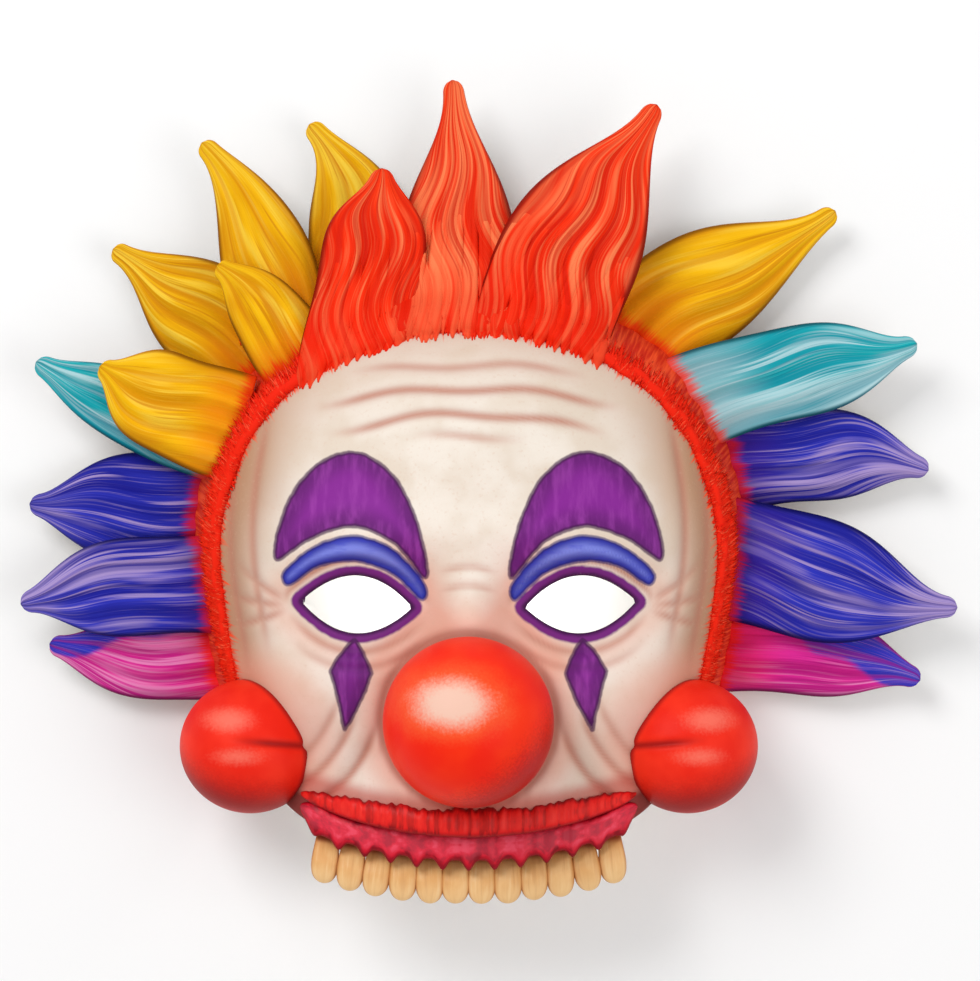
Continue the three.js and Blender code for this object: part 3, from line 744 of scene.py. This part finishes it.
def build_face():
    columns, rows = 352, 131

    # The columns lie closer together towards the eyes
    fine = np.linspace(0, 2 * math.pi, 4001)
    degrees = np.degrees(fine)
    density = 1 + 0.7 * bell(degrees - 46, 26) + 0.7 * bell(degrees - 134, 26)
    passed = np.concatenate([[0], np.cumsum((density[1:] + density[:-1]) / 2)])
    angle = np.interp(np.arange(columns) / columns, passed / passed[-1], fine)
    t = np.linspace(0, 1, rows)[:, None]
    r = NOSE_HOLE + (rim_reach(angle)[None] - NOSE_HOLE) * (t + 0.1 * np.sin(math.pi * t))
    x, y = (r * np.cos(angle)).ravel(), (NOSE_Y + r * np.sin(angle)).ravel()
    faces = grid_faces(rows, columns)

    # Open the eye holes, and pull the ragged edge of each onto its outline
    eye, near_x, near_y = edge_facts(np.abs(x), y, ALMOND)
    hole = eye < 0
    kept = faces[~hole[faces].all(axis=1)]
    on_edge = np.zeros(len(x), bool)
    on_edge[kept.ravel()] = True
    on_edge &= hole
    x = np.where(on_edge, np.sign(x) * near_x, x)
    y = np.where(on_edge, near_y, y)
    used = np.unique(kept)
    renumber = np.zeros(len(x), int)
    renumber[used] = np.arange(len(used))
    x, y = x[used], y[used]
    faces = [tuple(int(v) for v in f) for f in renumber[kept]]

    rise, crease = relief(x, y)
    verts = xyz(x, y, np.maximum(face_height(x, y) + rise, 0))
    ax = np.abs(x)
    violet = np.minimum(edge_facts(ax, y, ARCH)[0], edge_facts(ax, y, DIAMOND)[0])
    blue, eye = edge_facts(ax, y, LID_BAND)[0], edge_facts(ax, y, ALMOND)[0]
    outward, turn = outwardness(x, y)
    radius = np.hypot(x, y - NOSE_Y)
    line = NOSE_HOLE + (rim_reach(turn) - NOSE_HOLE) * math.sin(ROLL_SHARE * math.pi / 2)
    below = below_nose(turn)
    hair = radius - line + 1.5 - 60 * smooth(4, 14, below)
    # Painted shade towards the face's edges, weaker along the forehead and none low down beside the mouth
    border = smooth(0.60, 0.94, outward) * smooth(30, 8, below) * (1 - 0.6 * over_brow(turn))
    # Painted pinkish shade gathers round the nose's foot, beside the cheek pads, in the eye sockets and round
    # the eye holes
    cheek = np.hypot(ax - CHEEK[0], y - CHEEK[1])
    socket = np.exp(-(((ax - 17) / 8) ** 2) - ((y - EYE_Y - 4) / 12) ** 2)
    pink_shade = 0.8 * bell(radius - 28, 6) + 0.7 * smooth(34, 22, cheek) + 0.6 * socket + 0.5 * bell(eye - 7, 5)
    attributes = {
        "makeup": xyz(violet, blue, eye),
        # The red hairline paint, then the painted shade in the creases and towards the edges
        "shade": xyz(hair, crease, border),
        # Distances for the painted shade round the nose's foot and above the lip, and the pinkish painted
        # shade
        "shade_near_parts": xyz(radius - NOSE_RADIUS + 3, y - lip_y(x) - 1, np.clip(pink_shade, 0, 1)),
        "polar": xyz(turn * 95, radius, 0),
    }
    materials = [skin_paint(), inside_material]
    shell_piece("face_skin", verts, faces, FACE_WALL, materials, "face_shell", attributes)


build_face()


# The nose and the cheeks

def directions(polar, turn):
    """Ways out from a ball's middle, at angles from its front and round it."""
    return xyz(np.sin(polar) * np.cos(turn), np.sin(polar) * np.sin(turn), np.cos(polar))


def build_nose():
    columns, rows = 144, 70
    centre = np.array([0, NOSE_Y, front_height(np.array(0.0), np.array(NOSE_Y)) + NOSE_RISE])
    turn = full_turn(columns)

    def ball(polar):
        return centre + NOSE_RADIUS * directions(polar, turn)

    def is_sunk(polar):
        return under_face(ball(polar)) > 0.4

    seam = halve(np.full(columns, 1.2), np.full(columns, 2.8), is_sunk, 40)
    rings = np.stack([ball(seam * s) for s in np.linspace(0, 1, rows)[1:]])
    verts = np.concatenate([(centre + [0, 0, NOSE_RADIUS])[None], rings.reshape(-1, 3)])
    faces = [(0, 1 + j, 1 + (j + 1) % columns) for j in range(columns)]
    faces += [tuple(int(v) + 1 for v in f) for f in grid_faces(rows - 1, columns)]
    dx, dy, dz = ((verts - centre) / NOSE_RADIUS).T
    # Where the painted highlight sits, up and to the left on the ball
    highlight_spot = np.sqrt(((dx + 0.18) / 0.50) ** 2 + ((dy - 0.25) / 0.31) ** 2)
    # Painted shade on the lower right and towards the face
    painted_shade_side = 0.62 * dx - 0.72 * dy - 0.40 * dz + 0.30
    # Height over the face, for the painted shade at the ball's foot
    contact = np.maximum(0, -under_face(verts))
    materials = [nose_paint(), inside_material]
    shell_piece("nose_ball", verts, faces, NOSE_WALL, materials, "nose",
                {"ball": xyz(highlight_spot, painted_shade_side, contact)})


def fold_line(across, up):
    """The soft fold that runs out across a cheek from the mouth's side."""
    return bell(up - 0.10 - 0.10 * across, 0.055) * smooth(0.35, -0.35, across)


def build_cheek(side, name, material):
    columns, rows = 160, 90
    centre = CHEEK * [side, 1, 1]
    way = directions(np.linspace(0.02, math.pi - 0.02, rows)[:, None], full_turn(columns)[None])
    reach = 1 / np.sqrt(((way / CHEEK_RADII) ** 2).sum(-1))
    ox, oy = way[..., 0] * side, way[..., 1]
    reach = reach - 0.9 * fold_line(ox, oy)

    def is_sunk(share):
        return under_face(centre + way * (reach * share)[..., None]) > 0.9

    # How far out each line goes before it is sunk in the shell
    out = np.zeros(reach.shape)
    for step in np.linspace(1, 0, 61):
        out = np.where(is_sunk(step), 0, np.maximum(out, step))
    seam = halve(out, np.minimum(1, out + 1 / 60), is_sunk, 14)
    verts, faces = loft(centre + way * (reach * np.where(out >= 1, 1, seam))[..., None])
    local = (verts - centre) / CHEEK_RADII
    lx, ly, lz = local[:, 0] * side, local[:, 1], local[:, 2]
    # Two painted highlights, one high on the pad and one under its fold
    highlight_spot = np.sqrt(((lx - 0.28) / 0.30) ** 2 + ((ly - 0.42) / 0.15) ** 2)
    highlight_spot = np.minimum(highlight_spot, np.sqrt(((lx - 0.14) / 0.38) ** 2 + ((ly + 0.12) / 0.14) ** 2) + 0.35)
    # Painted shade on the lower side, with a painted reflection along the bottom edge
    painted_shade_side = -1.05 * ly - 0.50 * lz + 0.25 * lx + 0.54
    # Painted shade where the pad meets the face and along its fold
    gap = np.where(outwardness(verts[:, 0], verts[:, 1])[0] < 0.97, np.maximum(0, -under_face(verts)), 9)
    crease = np.maximum(smooth(3.5, 0.3, gap), fold_line(lx, ly))
    pad = piece(name + "_pad", verts, faces, [material], [name],
                {"ball": xyz(highlight_spot, painted_shade_side, crease)})


build_nose()
cheek_material = cheek_paint()
build_cheek(-1, "cheek_left", cheek_material)
build_cheek(1, "cheek_right", cheek_material)


# The mouth

BAND_END_FROM, BAND_END_LENGTH = 0.86, 0.1405  # where a band starts to close, and how soon


def build_band(name, node, material, drop, tall, deep, taper, lift, upper_edge, lower_edge):
    """A strip across the mouth. The edges are shares of its half height along x, and lift raises its ends."""
    stations, sides = 240, 40
    s = np.linspace(-1, 1, stations)[:, None]
    x = MOUTH_HALF * s
    y = lip_y(x) - drop + lift * smooth(0.72, 1.0, np.abs(s))
    size = np.sqrt(1 - taper * s**2) * rounded_end(np.abs(s), BAND_END_FROM, BAND_END_LENGTH)
    turn = full_turn(sides)
    up, out = np.cos(turn), np.sin(turn)
    dy = tall * size * up * np.where(up > 0, upper_edge(x), lower_edge(x))
    lines = 0.5 + 0.5 * np.cos(2 * math.pi * x / 4.3 + 1.9 * np.sin(0.23 * x) + 1.1 * np.sin(0.61 * x + 1))
    fullness = np.where(up > 0, 0.8, 0.45)
    swell = np.maximum(out, 0) ** fullness
    height = np.where(out > 0, deep * size * swell - 0.35 * lines * swell, 0.8 * out)
    verts, faces = loft(xyz(x, y + dy, face_height(x, y) + height))
    out_share = with_hubs(np.maximum(out, 0), dy.shape, 0, 0)
    band = xyz(out_share, verts[:, 0], with_hubs(np.abs(up), dy.shape, 1, 1))
    piece(name, verts, faces, [material], [node], {"band": band})


phase = rng.uniform(0, 6.28, 6)


def ragged_edge(x):
    return 1 + sum(0.06 * np.sin(x * f + q) for f, q in zip((0.23, 0.41, 0.77, 1.3, 1.9, 2.7), phase))


def scalloped_edge(x):
    return 1.04 + 0.66 * np.abs(np.cos(math.pi * x / TOOTH_PITCH)) ** 4 + 0.5 * smooth(35, 45, np.abs(x))


def plain_edge(x):
    return np.ones(x.shape)


lip_material = mouth_paint("lip_red", (0.74, 0.008, 0.008), (0.86, 0.03, 0.02), (0.28, 0.002, 0.004),
                           spread=(0.7, 0.55, 0.4))
gum_material = mouth_paint("gum_crimson", (0.66, 0.006, 0.024), (0.84, 0.07, 0.12), (0.24, 0.001, 0.008),
                           spread=(1.5, 0.26, 1.5))
build_band("lip_band", "upper_lip", lip_material, drop=0, tall=LIP_TALL, deep=4.2, taper=0.86,
           lift=0, upper_edge=ragged_edge, lower_edge=plain_edge)
build_band("gum_band", "gum", gum_material, drop=GUM_DROP, tall=GUM_TALL, deep=3.4, taper=0.56,
           lift=2.6, upper_edge=plain_edge, lower_edge=scalloped_edge)


TOOTH_ROOT = 1.14  # length of a root, as a share of half the solid's


def build_tooth(index, material):
    """A peg whose root lies in the gum and whose crown stands out below it."""
    stations, sides = 34, 32
    x = (index - (TOOTH_COUNT - 1) / 2) * TOOTH_PITCH
    y = lip_y(x) - TOOTH_DROP
    slope = SMILE * x / MOUTH_HALF**2
    s = np.cos(np.linspace(math.pi, 0, stations))[:, None]
    long, wide, lean = rng.uniform(0.93, 1.0), rng.uniform(0.97, 1.03), rng.uniform(-0.04, 0.04)
    crown = smooth(-0.75, 0.25, s)
    square = np.where(s > 0, 3.6, 6.0)
    seen = np.sqrt(np.clip(1 - np.abs(s) ** square, 0.003, 1))
    from_side = np.sqrt(np.clip(1 - np.abs(s) ** 2.6, 0.003, 1))
    width = 1.15 * wide * TOOTH_RADIUS * seen * (0.84 + 0.18 * crown)
    depth = TOOTH_FLATTEN * TOOTH_RADIUS * from_side * (0.35 + 0.65 * crown)
    turn = full_turn(sides)
    c, d = np.cos(turn), np.sin(turn)
    c, d = np.sign(c) * np.abs(c) ** 0.75, np.sign(d) * np.abs(d) ** 0.75
    groove = 1 - 0.10 * (bell(c - 0.3, 0.14) + bell(c + 0.3, 0.14)) * (d > 0)
    px = width * c + lean * s * TOOTH_LENGTH / 2
    py = -(s * np.where(s > 0, long, TOOTH_ROOT)) * TOOTH_LENGTH / 2
    pz = depth * (d * groove) + TOOTH_FLATTEN * TOOTH_RADIUS * (0.25 + 0.75 * crown)
    verts, faces = loft(xyz(px * math.cos(slope) - py * math.sin(slope) + x,
                            px * math.sin(slope) + py * math.cos(slope) + y,
                            pz + face_height(np.array(x), np.array(y))))
    along = with_hubs((s + 1) / 2, px.shape, 0, 1)
    out, across = with_hubs(d, px.shape, 0, 0), with_hubs(c, px.shape, 0, 0)
    name = f"tooth_{index + 1:02d}"
    piece(name + "_peg", verts, faces, [material], [name],
          {"tooth": xyz(along, out, across + index * 5.3), "side": np.abs(across)})


tooth_material = tooth_paint()
for number in range(TOOTH_COUNT):
    build_tooth(number, tooth_material)


# The hair

# How much paler than the others of its colour a tuft is, all over and then at its tip
PALE = {"blue_left_low": 0.2, "teal_right": 0.1, "teal_left": 0.6, "pink_left": 0.9, "red_left": 0.2,
        "red_middle": 1.3, "red_right": 0.4, "pink_right": -0.8, "yellow_left_top": 0.9,
        "yellow_left_high": 0.4, "yellow_left_mid": 0.5}
PALE_TIP = {"blue_right_low": 2.2, "blue_right_high": 0.8, "yellow_left_mid": 0.8}

# The side of a tuft that is paler than the other, and by how much
PALE_SIDE = {"blue_left_low": (-1, 1.3), "teal_right": (-1, 1.7), "blue_right_high": (-1, 1.1),
             "pink_right": (-1, 1.2)}

# The side of a tuft with a second colour, and the shares of its half width where that starts, by the root
# and past it
SECOND_SIDE = {"pink_left": (-1, 0.80, 0.55), "pink_right": (1, 0.85, 0.0)}
NO_SECOND = -99.0
BORDER_TURN = 1.3  # how far the border crosses over towards the tip, in half widths

TIP_FROM, TIP_LENGTH = 0.955, 0.0452  # where along a tuft its blunt tip starts to close, and how soon
EDGE_FROM, EDGE_LENGTH = 0.9, 0.1  # the same across it, for its rounded edges
SPINE_SHARES = (0.36, 0.70)  # where along a tuft its two bows stand
TUFT_RUFFLE, TUFT_SWAY, RIDGE_WIDTH = 0.035, 0.16, 8.5
ROOT_LOCKS = 48


class Tuft:
    """A tuft's spine and its swelling, after the solid's."""

    def __init__(self, row, seed):
        self.name, root, tip, bow, self.width, self.full, layer, lift = row
        self.colour, self.seed = self.name.split("_")[0], seed
        level = LAYER_HEIGHTS[layer]
        way = np.subtract(tip, root) / np.hypot(*np.subtract(tip, root))
        side = np.array([-way[1], way[0], 0])
        a = np.array([*(np.array(root) - way * TUFT_SINK), level + lift])
        d = np.array([*tip, level + TUFT_TIP_LIFT])
        b, c = (a + (d - a) * share + side * size for share, size in zip(SPINE_SHARES, bow))
        c[2] = level
        self.spine, self.span = (a, b, c, d), np.linalg.norm(d - a)
        self.waviness, self.wave_length = (2.5, 36) if self.colour == "red" else (0.9, 42)
        self.ridges = max(3, round(self.width / RIDGE_WIDTH))
        self.waves = rng.uniform(0, 6.28, 4)

    def surface(self, s, across, front):
        """Points at shares s of the spine and shares across of the width, with the ridge and the sway there.

        Front is one on the front, none on the back and a half on the edge between them.
        """
        a, b, c, d = self.spine
        e = s[..., None]
        p = (1 - e) ** 3 * a + 3 * (1 - e) ** 2 * e * b + 3 * (1 - e) * e**2 * c + e**3 * d
        ahead = 3 * (1 - e) ** 2 * (b - a) + 6 * (1 - e) * e * (c - b) + 3 * e**2 * (d - c)
        left = unit(xyz(-ahead[..., 1], ahead[..., 0], 0))
        nub = TUFT_NUB / self.width
        share = nub + (1 - nub) * (1 - np.maximum(s, 0) ** self.full) ** TUFT_FLARE
        close = rounded_end(s, TIP_FROM, TIP_LENGTH, 0.001)
        ruffle = 1 + TUFT_RUFFLE * np.sin(9 * s + self.waves[0]) * smooth(1, 0.8, s)
        reach = self.width / 2 * share * close * ruffle
        sway = TUFT_SWAY * np.sin(4.4 * s + self.waves[1])
        turns = 2 * math.pi * s * self.span / self.wave_length
        sway = sway + self.waviness / (self.width / 2) * np.sin(turns + self.waves[2] + 0.9 * across)
        ridge = np.cos(2 * math.pi * (self.ridges * (across + sway * (1 - across**2)) / 2 + 0.13 * self.seed))
        ridge = np.sign(ridge) * np.abs(ridge) ** 0.8
        dome = np.maximum(1 - np.abs(across) ** 2.4, 0)
        crown = TUFT_CROWN * share * (0.68 * dome + 0.27 * ridge * dome**0.5)
        wall = HAIR_WALL * (0.4 + 0.6 * np.sqrt(share)) * close
        lip = rounded_end(np.abs(across), EDGE_FROM, EDGE_LENGTH)
        p = p + left * (across * reach)[..., None]
        p[..., 2] += crown - wall / 2 + (2 * front - 1) * wall / 2 * lip
        return p, ridge, sway

    def paleness(self, s, across):
        side, more = PALE_SIDE.get(self.name, (1, 0.0))
        at_tip = PALE_TIP.get(self.name, 0.0) * smooth(0.66, 0.95, s)
        return PALE.get(self.name, 0.0) + at_tip + more * smooth(-0.2, 0.6, side * across)

    def past_border(self, s, across):
        """How many millimetres past its colour border a place is."""
        if self.name not in SECOND_SIDE:
            return NO_SECOND
        side, by_root, further = SECOND_SIDE[self.name]
        border = by_root + (further - by_root) * smooth(0.3, 0.5, s) - BORDER_TURN * smooth(0.6, 1.0, s)
        return (side * across - border) * self.width / 2

    def flow(self, s, across, sway):
        """Where a stroke of paint is: across in millimetres, along in shares, and the tuft's own number."""
        return xyz((across + sway) * self.width / 2, s, self.seed * 3.7)


def fringe_radius(angle):
    return ROLL_RADIUS * (0.36 + 0.16 * up_side(angle) + 0.10 * over_brow(angle))


def past_hairline(x, y):
    """How far outside the roll's middle a place lies, and the roll's own height there."""
    angle = np.arctan2(y - NOSE_Y, x)
    middle = face_point(angle, np.full(np.shape(angle), ROLL_SHARE))
    offset = np.hypot(x, y - NOSE_Y) - np.hypot(middle[..., 0], middle[..., 1] - NOSE_Y)
    radius = fringe_radius(angle)
    top = middle[..., 2] + np.sqrt(np.maximum(radius**2 - offset**2, 0))
    return offset, top - 9 * (np.abs(offset) > radius)


def settle(z):
    """Heights along a lock, lifted to what lies around them and evened out."""
    for _ in range(2):
        padded = np.pad(z, ((2, 2), (0, 0)), "edge")
        z = np.max([padded[i:i + len(z)] for i in range(5)], axis=0)
        padded = np.pad(z, ((2, 2), (0, 0)), "edge")
        z = np.mean([padded[i:i + len(z)] for i in range(5)], axis=0)
    return z


def root_locks(tuft, count):
    """Flat locks that carry a tuft's strands over the roll to the hairline, and sink into it further out."""
    stations = 44
    side = np.array([-1.0, -0.6, 0.0, 0.6, 1.0, 0.0])
    swell = np.array([0.0, 0.8, 1.0, 0.8, 0.0, 0.0])
    sunk = np.array([0.7, 0.0, 0.0, 0.0, 0.7, 1.2])
    u = np.linspace(0, 1, stations)[:, None]
    scan = np.linspace(-0.1, 0.5, 241)
    parts = []
    for k in range(count):
        middle = 0.92 * (2 * (k % (count // 2) + rng.uniform(0.1, 0.9)) / (count // 2) - 1)
        half, thick = rng.uniform(1.5, 2.9) / (tuft.width / 2), rng.uniform(0.4, 0.9)
        p, _, _ = tuft.surface(scan, np.full(scan.shape, middle), np.ones(scan.shape))
        begin = scan[np.argmax(past_hairline(p[:, 0], p[:, 1])[0] > rng.uniform(-4.6, -1.6))]
        s = np.broadcast_to(begin + rng.uniform(32, 48) / tuft.span * u, (stations, len(side)))
        shape = smooth(-0.04, 0.12, u) * np.sqrt(np.clip(1 - np.maximum(u - 0.5, 0) / 0.501, 0, 1))
        across = np.clip(middle + half * shape * side, -0.99, 0.99)
        p, _, sway = tuft.surface(s, across, np.ones(s.shape))
        skin, roll = p[..., 2], past_hairline(p[..., 0], p[..., 1])[1]
        outward, _ = outwardness(p[..., 0], p[..., 1])
        shell = np.where(outward < 1, face_height(p[..., 0], p[..., 1]), 0)
        bed = np.maximum(np.maximum(skin, roll), shell)
        bed = bed + (settle(bed) - bed) * smooth(0.02, 0.15, u)
        bed = bed + (np.maximum(skin, shell) - bed) * smooth(0.4, 0.75, u)
        p[..., 2] = bed + thick * shape * smooth(0.95, 0.5, u) * swell - sunk - 0.5 * smooth(0.6, 0.9, u)
        verts, faces = loft(p)
        flow = tuft.flow(s, across, sway)
        # Painted shade down a lock's sides near its root; its edge value is held down so the tuft's painted
        # edge shade stays light on it
        valley = -0.75 * np.abs(side) * smooth(0.5, 0.2, u)
        form = xyz(valley, np.minimum(np.abs(across), 0.72), 1)
        tone = np.tile([PALE.get(tuft.name, 0.0), 99.0, NO_SECOND], (len(verts), 1))
        ends = [0, -1]
        parts.append((verts, faces, np.concatenate([flow.reshape(-1, 3), flow[ends, 2]]),
                      np.concatenate([form.reshape(-1, 3), form[ends, 2]]), tone))
    return parts


def build_tuft(row, seed):
    tuft = Tuft(row, seed)
    rows, half_count = 92, 46
    t = np.cos(np.linspace(math.pi, 0, half_count))
    t = 0.55 * t + 0.45 * np.linspace(-1, 1, half_count)
    across = np.concatenate([t, t[-2:0:-1]])
    front = np.concatenate([np.ones(half_count), np.zeros(half_count - 2)])
    front[[0, half_count - 1]] = 0.5

    # Each line along the tuft starts where it leaves the shell
    start = np.zeros(len(across))
    for s in np.linspace(0, 0.7, 71):
        p, _, _ = tuft.surface(np.full(len(across), s), across, front)
        start = np.where(under_face(p) > 0.6, s, start)
    s = start[None] + (1 - start[None]) * np.linspace(0, 1, rows)[:, None] ** 0.92
    wide, face = np.broadcast_to(across, s.shape), np.broadcast_to(front, s.shape)
    p, ridge, sway = tuft.surface(s, wide, face)
    verts, faces = loft(p)
    flow = np.concatenate([tuft.flow(s, wide, sway).reshape(-1, 3), [[0, 0, 0], [0, 1, 0]]])
    form = np.concatenate([xyz(ridge, np.abs(wide), face).reshape(-1, 3), [[0, 0, 1], [0, 0, 1]]])
    grown = with_hubs((s - start) * tuft.span, s.shape, 0, tuft.span)
    place = with_hubs(s, s.shape, 0, 1), with_hubs(wide, s.shape, 0, 0)
    tone = xyz(tuft.paleness(*place), grown, tuft.past_border(*place))
    if tuft.colour == "red":
        for lock_verts, lock_faces, *lock_paint in root_locks(tuft, ROOT_LOCKS):
            verts, faces = joined(verts, faces, lock_verts, lock_faces)
            flow, form, tone = (np.concatenate(pair) for pair in zip((flow, form, tone), lock_paint))
    piece("tuft_" + tuft.name, verts, faces, [hair_materials[tuft.colour]],
          ["hair_" + tuft.name], {"flow": flow, "form": form, "tone": tone})


for number, tuft_row in enumerate(TUFTS):
    build_tuft(tuft_row, number)


CREST_TURN, HAIR_SAG = 0.58, 0.010  # share of a half turn up to the roll's crest, and the sinking past it


def strands(angle, start, length, sway, curl, rise, thick, widths):
    """Closed hairs that start on the roll and are combed over it, as points, faces and places along each.

    Start and length are travelled from the roll's inner foot. Past its crest a hair flies free and sinks.
    """
    radius = fringe_radius(angle)
    step = 0.01
    slope = face_point(angle, ROLL_SHARE + step) - face_point(angle, ROLL_SHARE - step)
    speed = np.linalg.norm(slope, axis=-1) / (2 * step)
    flight = 0.45 * slope / (2 * step * speed[:, None]) + 0.55 * xyz(np.cos(angle), np.sin(angle), 0)
    levels = np.linspace(0, 1, len(widths) + 1)
    crest = CREST_TURN * math.pi * radius
    centres, normals = [], []
    for level in levels:
        travel = start + length * level
        over = np.clip(travel, 0, crest)
        free = np.maximum(travel - crest, 0)
        offset = -radius * np.cos(over / radius) + np.minimum(travel, 0)
        height = radius * np.sin(over / radius) - 0.3 + rise * level**1.5
        share = np.clip(ROLL_SHARE + offset / speed, 0.3, 0.96)
        at = angle + (sway * level + curl * math.sin(3 * level)) * length / 100
        normals.append(face_normal(at, share))
        centres.append(face_point(at, share) + normals[-1] * height[:, None] + flight * free[:, None])
        centres[-1][:, 2] -= HAIR_SAG * free**2
    rings = []
    for k, scale in enumerate(widths):
        along = unit(centres[k + 1] - centres[k])
        side = unit(np.cross(along, normals[k]))
        lift = np.cross(side, along)
        for corner in np.radians([90, 210, 330]):
            way = side * np.cos(corner) + lift * np.sin(corner)
            rings.append(centres[k] + way * (thick * scale)[:, None])
    points = np.stack(rings + [centres[-1]], 1)
    points[..., 2] = np.maximum(points[..., 2], 0.3)
    last = 3 * (len(widths) - 1)
    shape = [(2, 1, 0)] + [(last + j, last + (j + 1) % 3, last + 3) for j in range(3)]
    for k in range(0, last, 3):
        shape += [(k + j, k + (j + 1) % 3, k + 3 + (j + 1) % 3, k + 3 + j) for j in range(3)]
    shape = outward_faces(points[0], shape)
    each = last + 4
    faces = [tuple(each * i + v for v in f) for i in range(len(angle)) for f in shape]
    level = np.tile(np.append(np.repeat(levels[:-1], 3), 1), len(angle))
    return points.reshape(-1, 3), faces, level, each


def build_fringe(hairs=10000):
    """The furry hairline: a low roll under short hairs that are combed outwards."""
    stations, sides = 220, 20
    angle = np.radians(np.linspace(ROLL_FROM, 180 - ROLL_FROM, stations))
    share = np.full(stations, ROLL_SHARE)
    middle, out = face_point(angle, share), face_normal(angle, share)
    tangent = xyz(-np.sin(angle), np.cos(angle), 0)
    across = unit(np.cross(tangent, out))
    ends = np.minimum(np.arange(stations), np.arange(stations)[::-1]) / stations * 30
    size = fringe_radius(angle) * np.sqrt(np.minimum(1, 0.12 + ends / 4))
    turn = full_turn(sides)
    lump = 1 + 0.10 * np.sin(angle[:, None] * 37 + 3 * turn) + 0.08 * np.sin(angle[:, None] * 83 - 2 * turn)
    up = np.where(np.sin(turn) > 0, np.sin(turn), 0.25 * np.sin(turn))
    rings = (middle[:, None] + out[:, None] * (size[:, None] * up * lump)[..., None]
             + across[:, None] * (size[:, None] * np.cos(turn) * lump)[..., None])
    verts, faces = loft(rings)
    # The roll takes a darker red than most hairs, a painted shade under them
    fur = np.tile([0.4, 0.4, 0.0], (len(verts), 1))

    a = np.radians(rng.uniform(ROLL_FROM + 1, 179 - ROLL_FROM, hairs))
    a = a[rng.uniform(0, 1, hairs) > 0.6 * over_brow(a)]
    hairs = len(a)
    inward = rng.uniform(0, 1, hairs) < 0.2
    start = np.where(inward, rng.uniform(0.3, 2.2, hairs), rng.uniform(-0.3, 1.7, hairs) * fringe_radius(a))
    inner, outer = -rng.uniform(1.6, 3.0, hairs), rng.uniform(4.2, 7.0, hairs)
    length = np.where(inward, inner, outer * (0.6 + 0.4 * up_side(a)))
    sway, curl = rng.normal(0, 0.11, hairs), rng.normal(0, 0.06, hairs)
    rise = rng.uniform(0.0, 0.6, hairs)
    thick = rng.uniform(0.24, 0.46, hairs)
    points, loops, level, each = strands(a, start, length, sway, curl, rise, thick, widths=(0.75, 1.0, 0.7))
    shade = np.repeat(np.clip(rng.normal(0.62, 0.28, hairs), 0, 1), each)
    verts, faces = joined(verts, faces, points, loops)
    fur = np.concatenate([fur, xyz(level, shade, 0)])
    piece("hairline_fringe", verts, faces, [fur_paint()], ["hairline_roll"], {"fur": fur})


build_fringe()


# Floor, light and camera

FLOOR_HALF, FLOOR_DROP, FLOOR_WHITE = 4.0, 0.0004, 0.93
SKY_WHITE, SKY_STRENGTH = 1.0, 0.62
CAMERA_X, CAMERA_HEIGHT, SENSOR_WIDTH = 0.0003, 1.9, 36
FRAMED_HEIGHT, FRAMED_WIDTH = 0.016, 0.294  # the level of the hair, and how much of it the picture spans

# Name, place, aim, size and power. The last, under the forehead, lights the floor that shows through the eyes
LAMPS = (
    ("key", (-0.75, 0.85, 1.3), (0, 0, 0), 0.8, 13.0),
    ("fill", (0.9, -0.3, 1.2), (0, 0, 0), 1.0, 5.0),
    ("under", (-0.006, -0.024, 0.036), (-0.006, -0.024, 0), 0.02, 0.045),
)


def build_stage():
    corners = [(FLOOR_HALF * x, FLOOR_HALF * y, -FLOOR_DROP) for x, y in ((-1, -1), (1, -1), (1, 1), (-1, 1))]
    mesh = new_mesh("floor", corners, [(0, 1, 2, 3)])
    p = Paint("floor_white", 0.8, 0.2)
    p.shader.inputs["Base Color"].default_value = (FLOOR_WHITE, FLOOR_WHITE, FLOOR_WHITE, 1)
    mesh.materials.append(p.material)
    floor = new_object("floor", mesh)

    world = bpy.data.worlds.new("studio")
    world.use_nodes = True
    sky = world.node_tree.nodes["Background"].inputs
    sky["Color"].default_value = (SKY_WHITE, SKY_WHITE, SKY_WHITE, 1)
    sky["Strength"].default_value = SKY_STRENGTH
    bpy.context.scene.world = world

    for name, place, aim, size, power in LAMPS:
        light = bpy.data.lights.new(name, "AREA")
        light.size, light.energy = size, power
        lamp = new_object(name, light)
        lamp.location = place
        lamp.rotation_mode = "QUATERNION"
        lamp.rotation_quaternion = (Vector(aim) - Vector(place)).to_track_quat("-Z", "Y")

    camera = new_object("camera", bpy.data.cameras.new("camera"))
    camera.location = (CAMERA_X, 0.0, CAMERA_HEIGHT)
    camera.data.sensor_width = SENSOR_WIDTH
    camera.data.lens = SENSOR_WIDTH * (CAMERA_HEIGHT - FRAMED_HEIGHT) / FRAMED_WIDTH
    bpy.context.scene.camera = camera
    bpy.context.scene.view_settings.view_transform = "Standard"


build_stage()
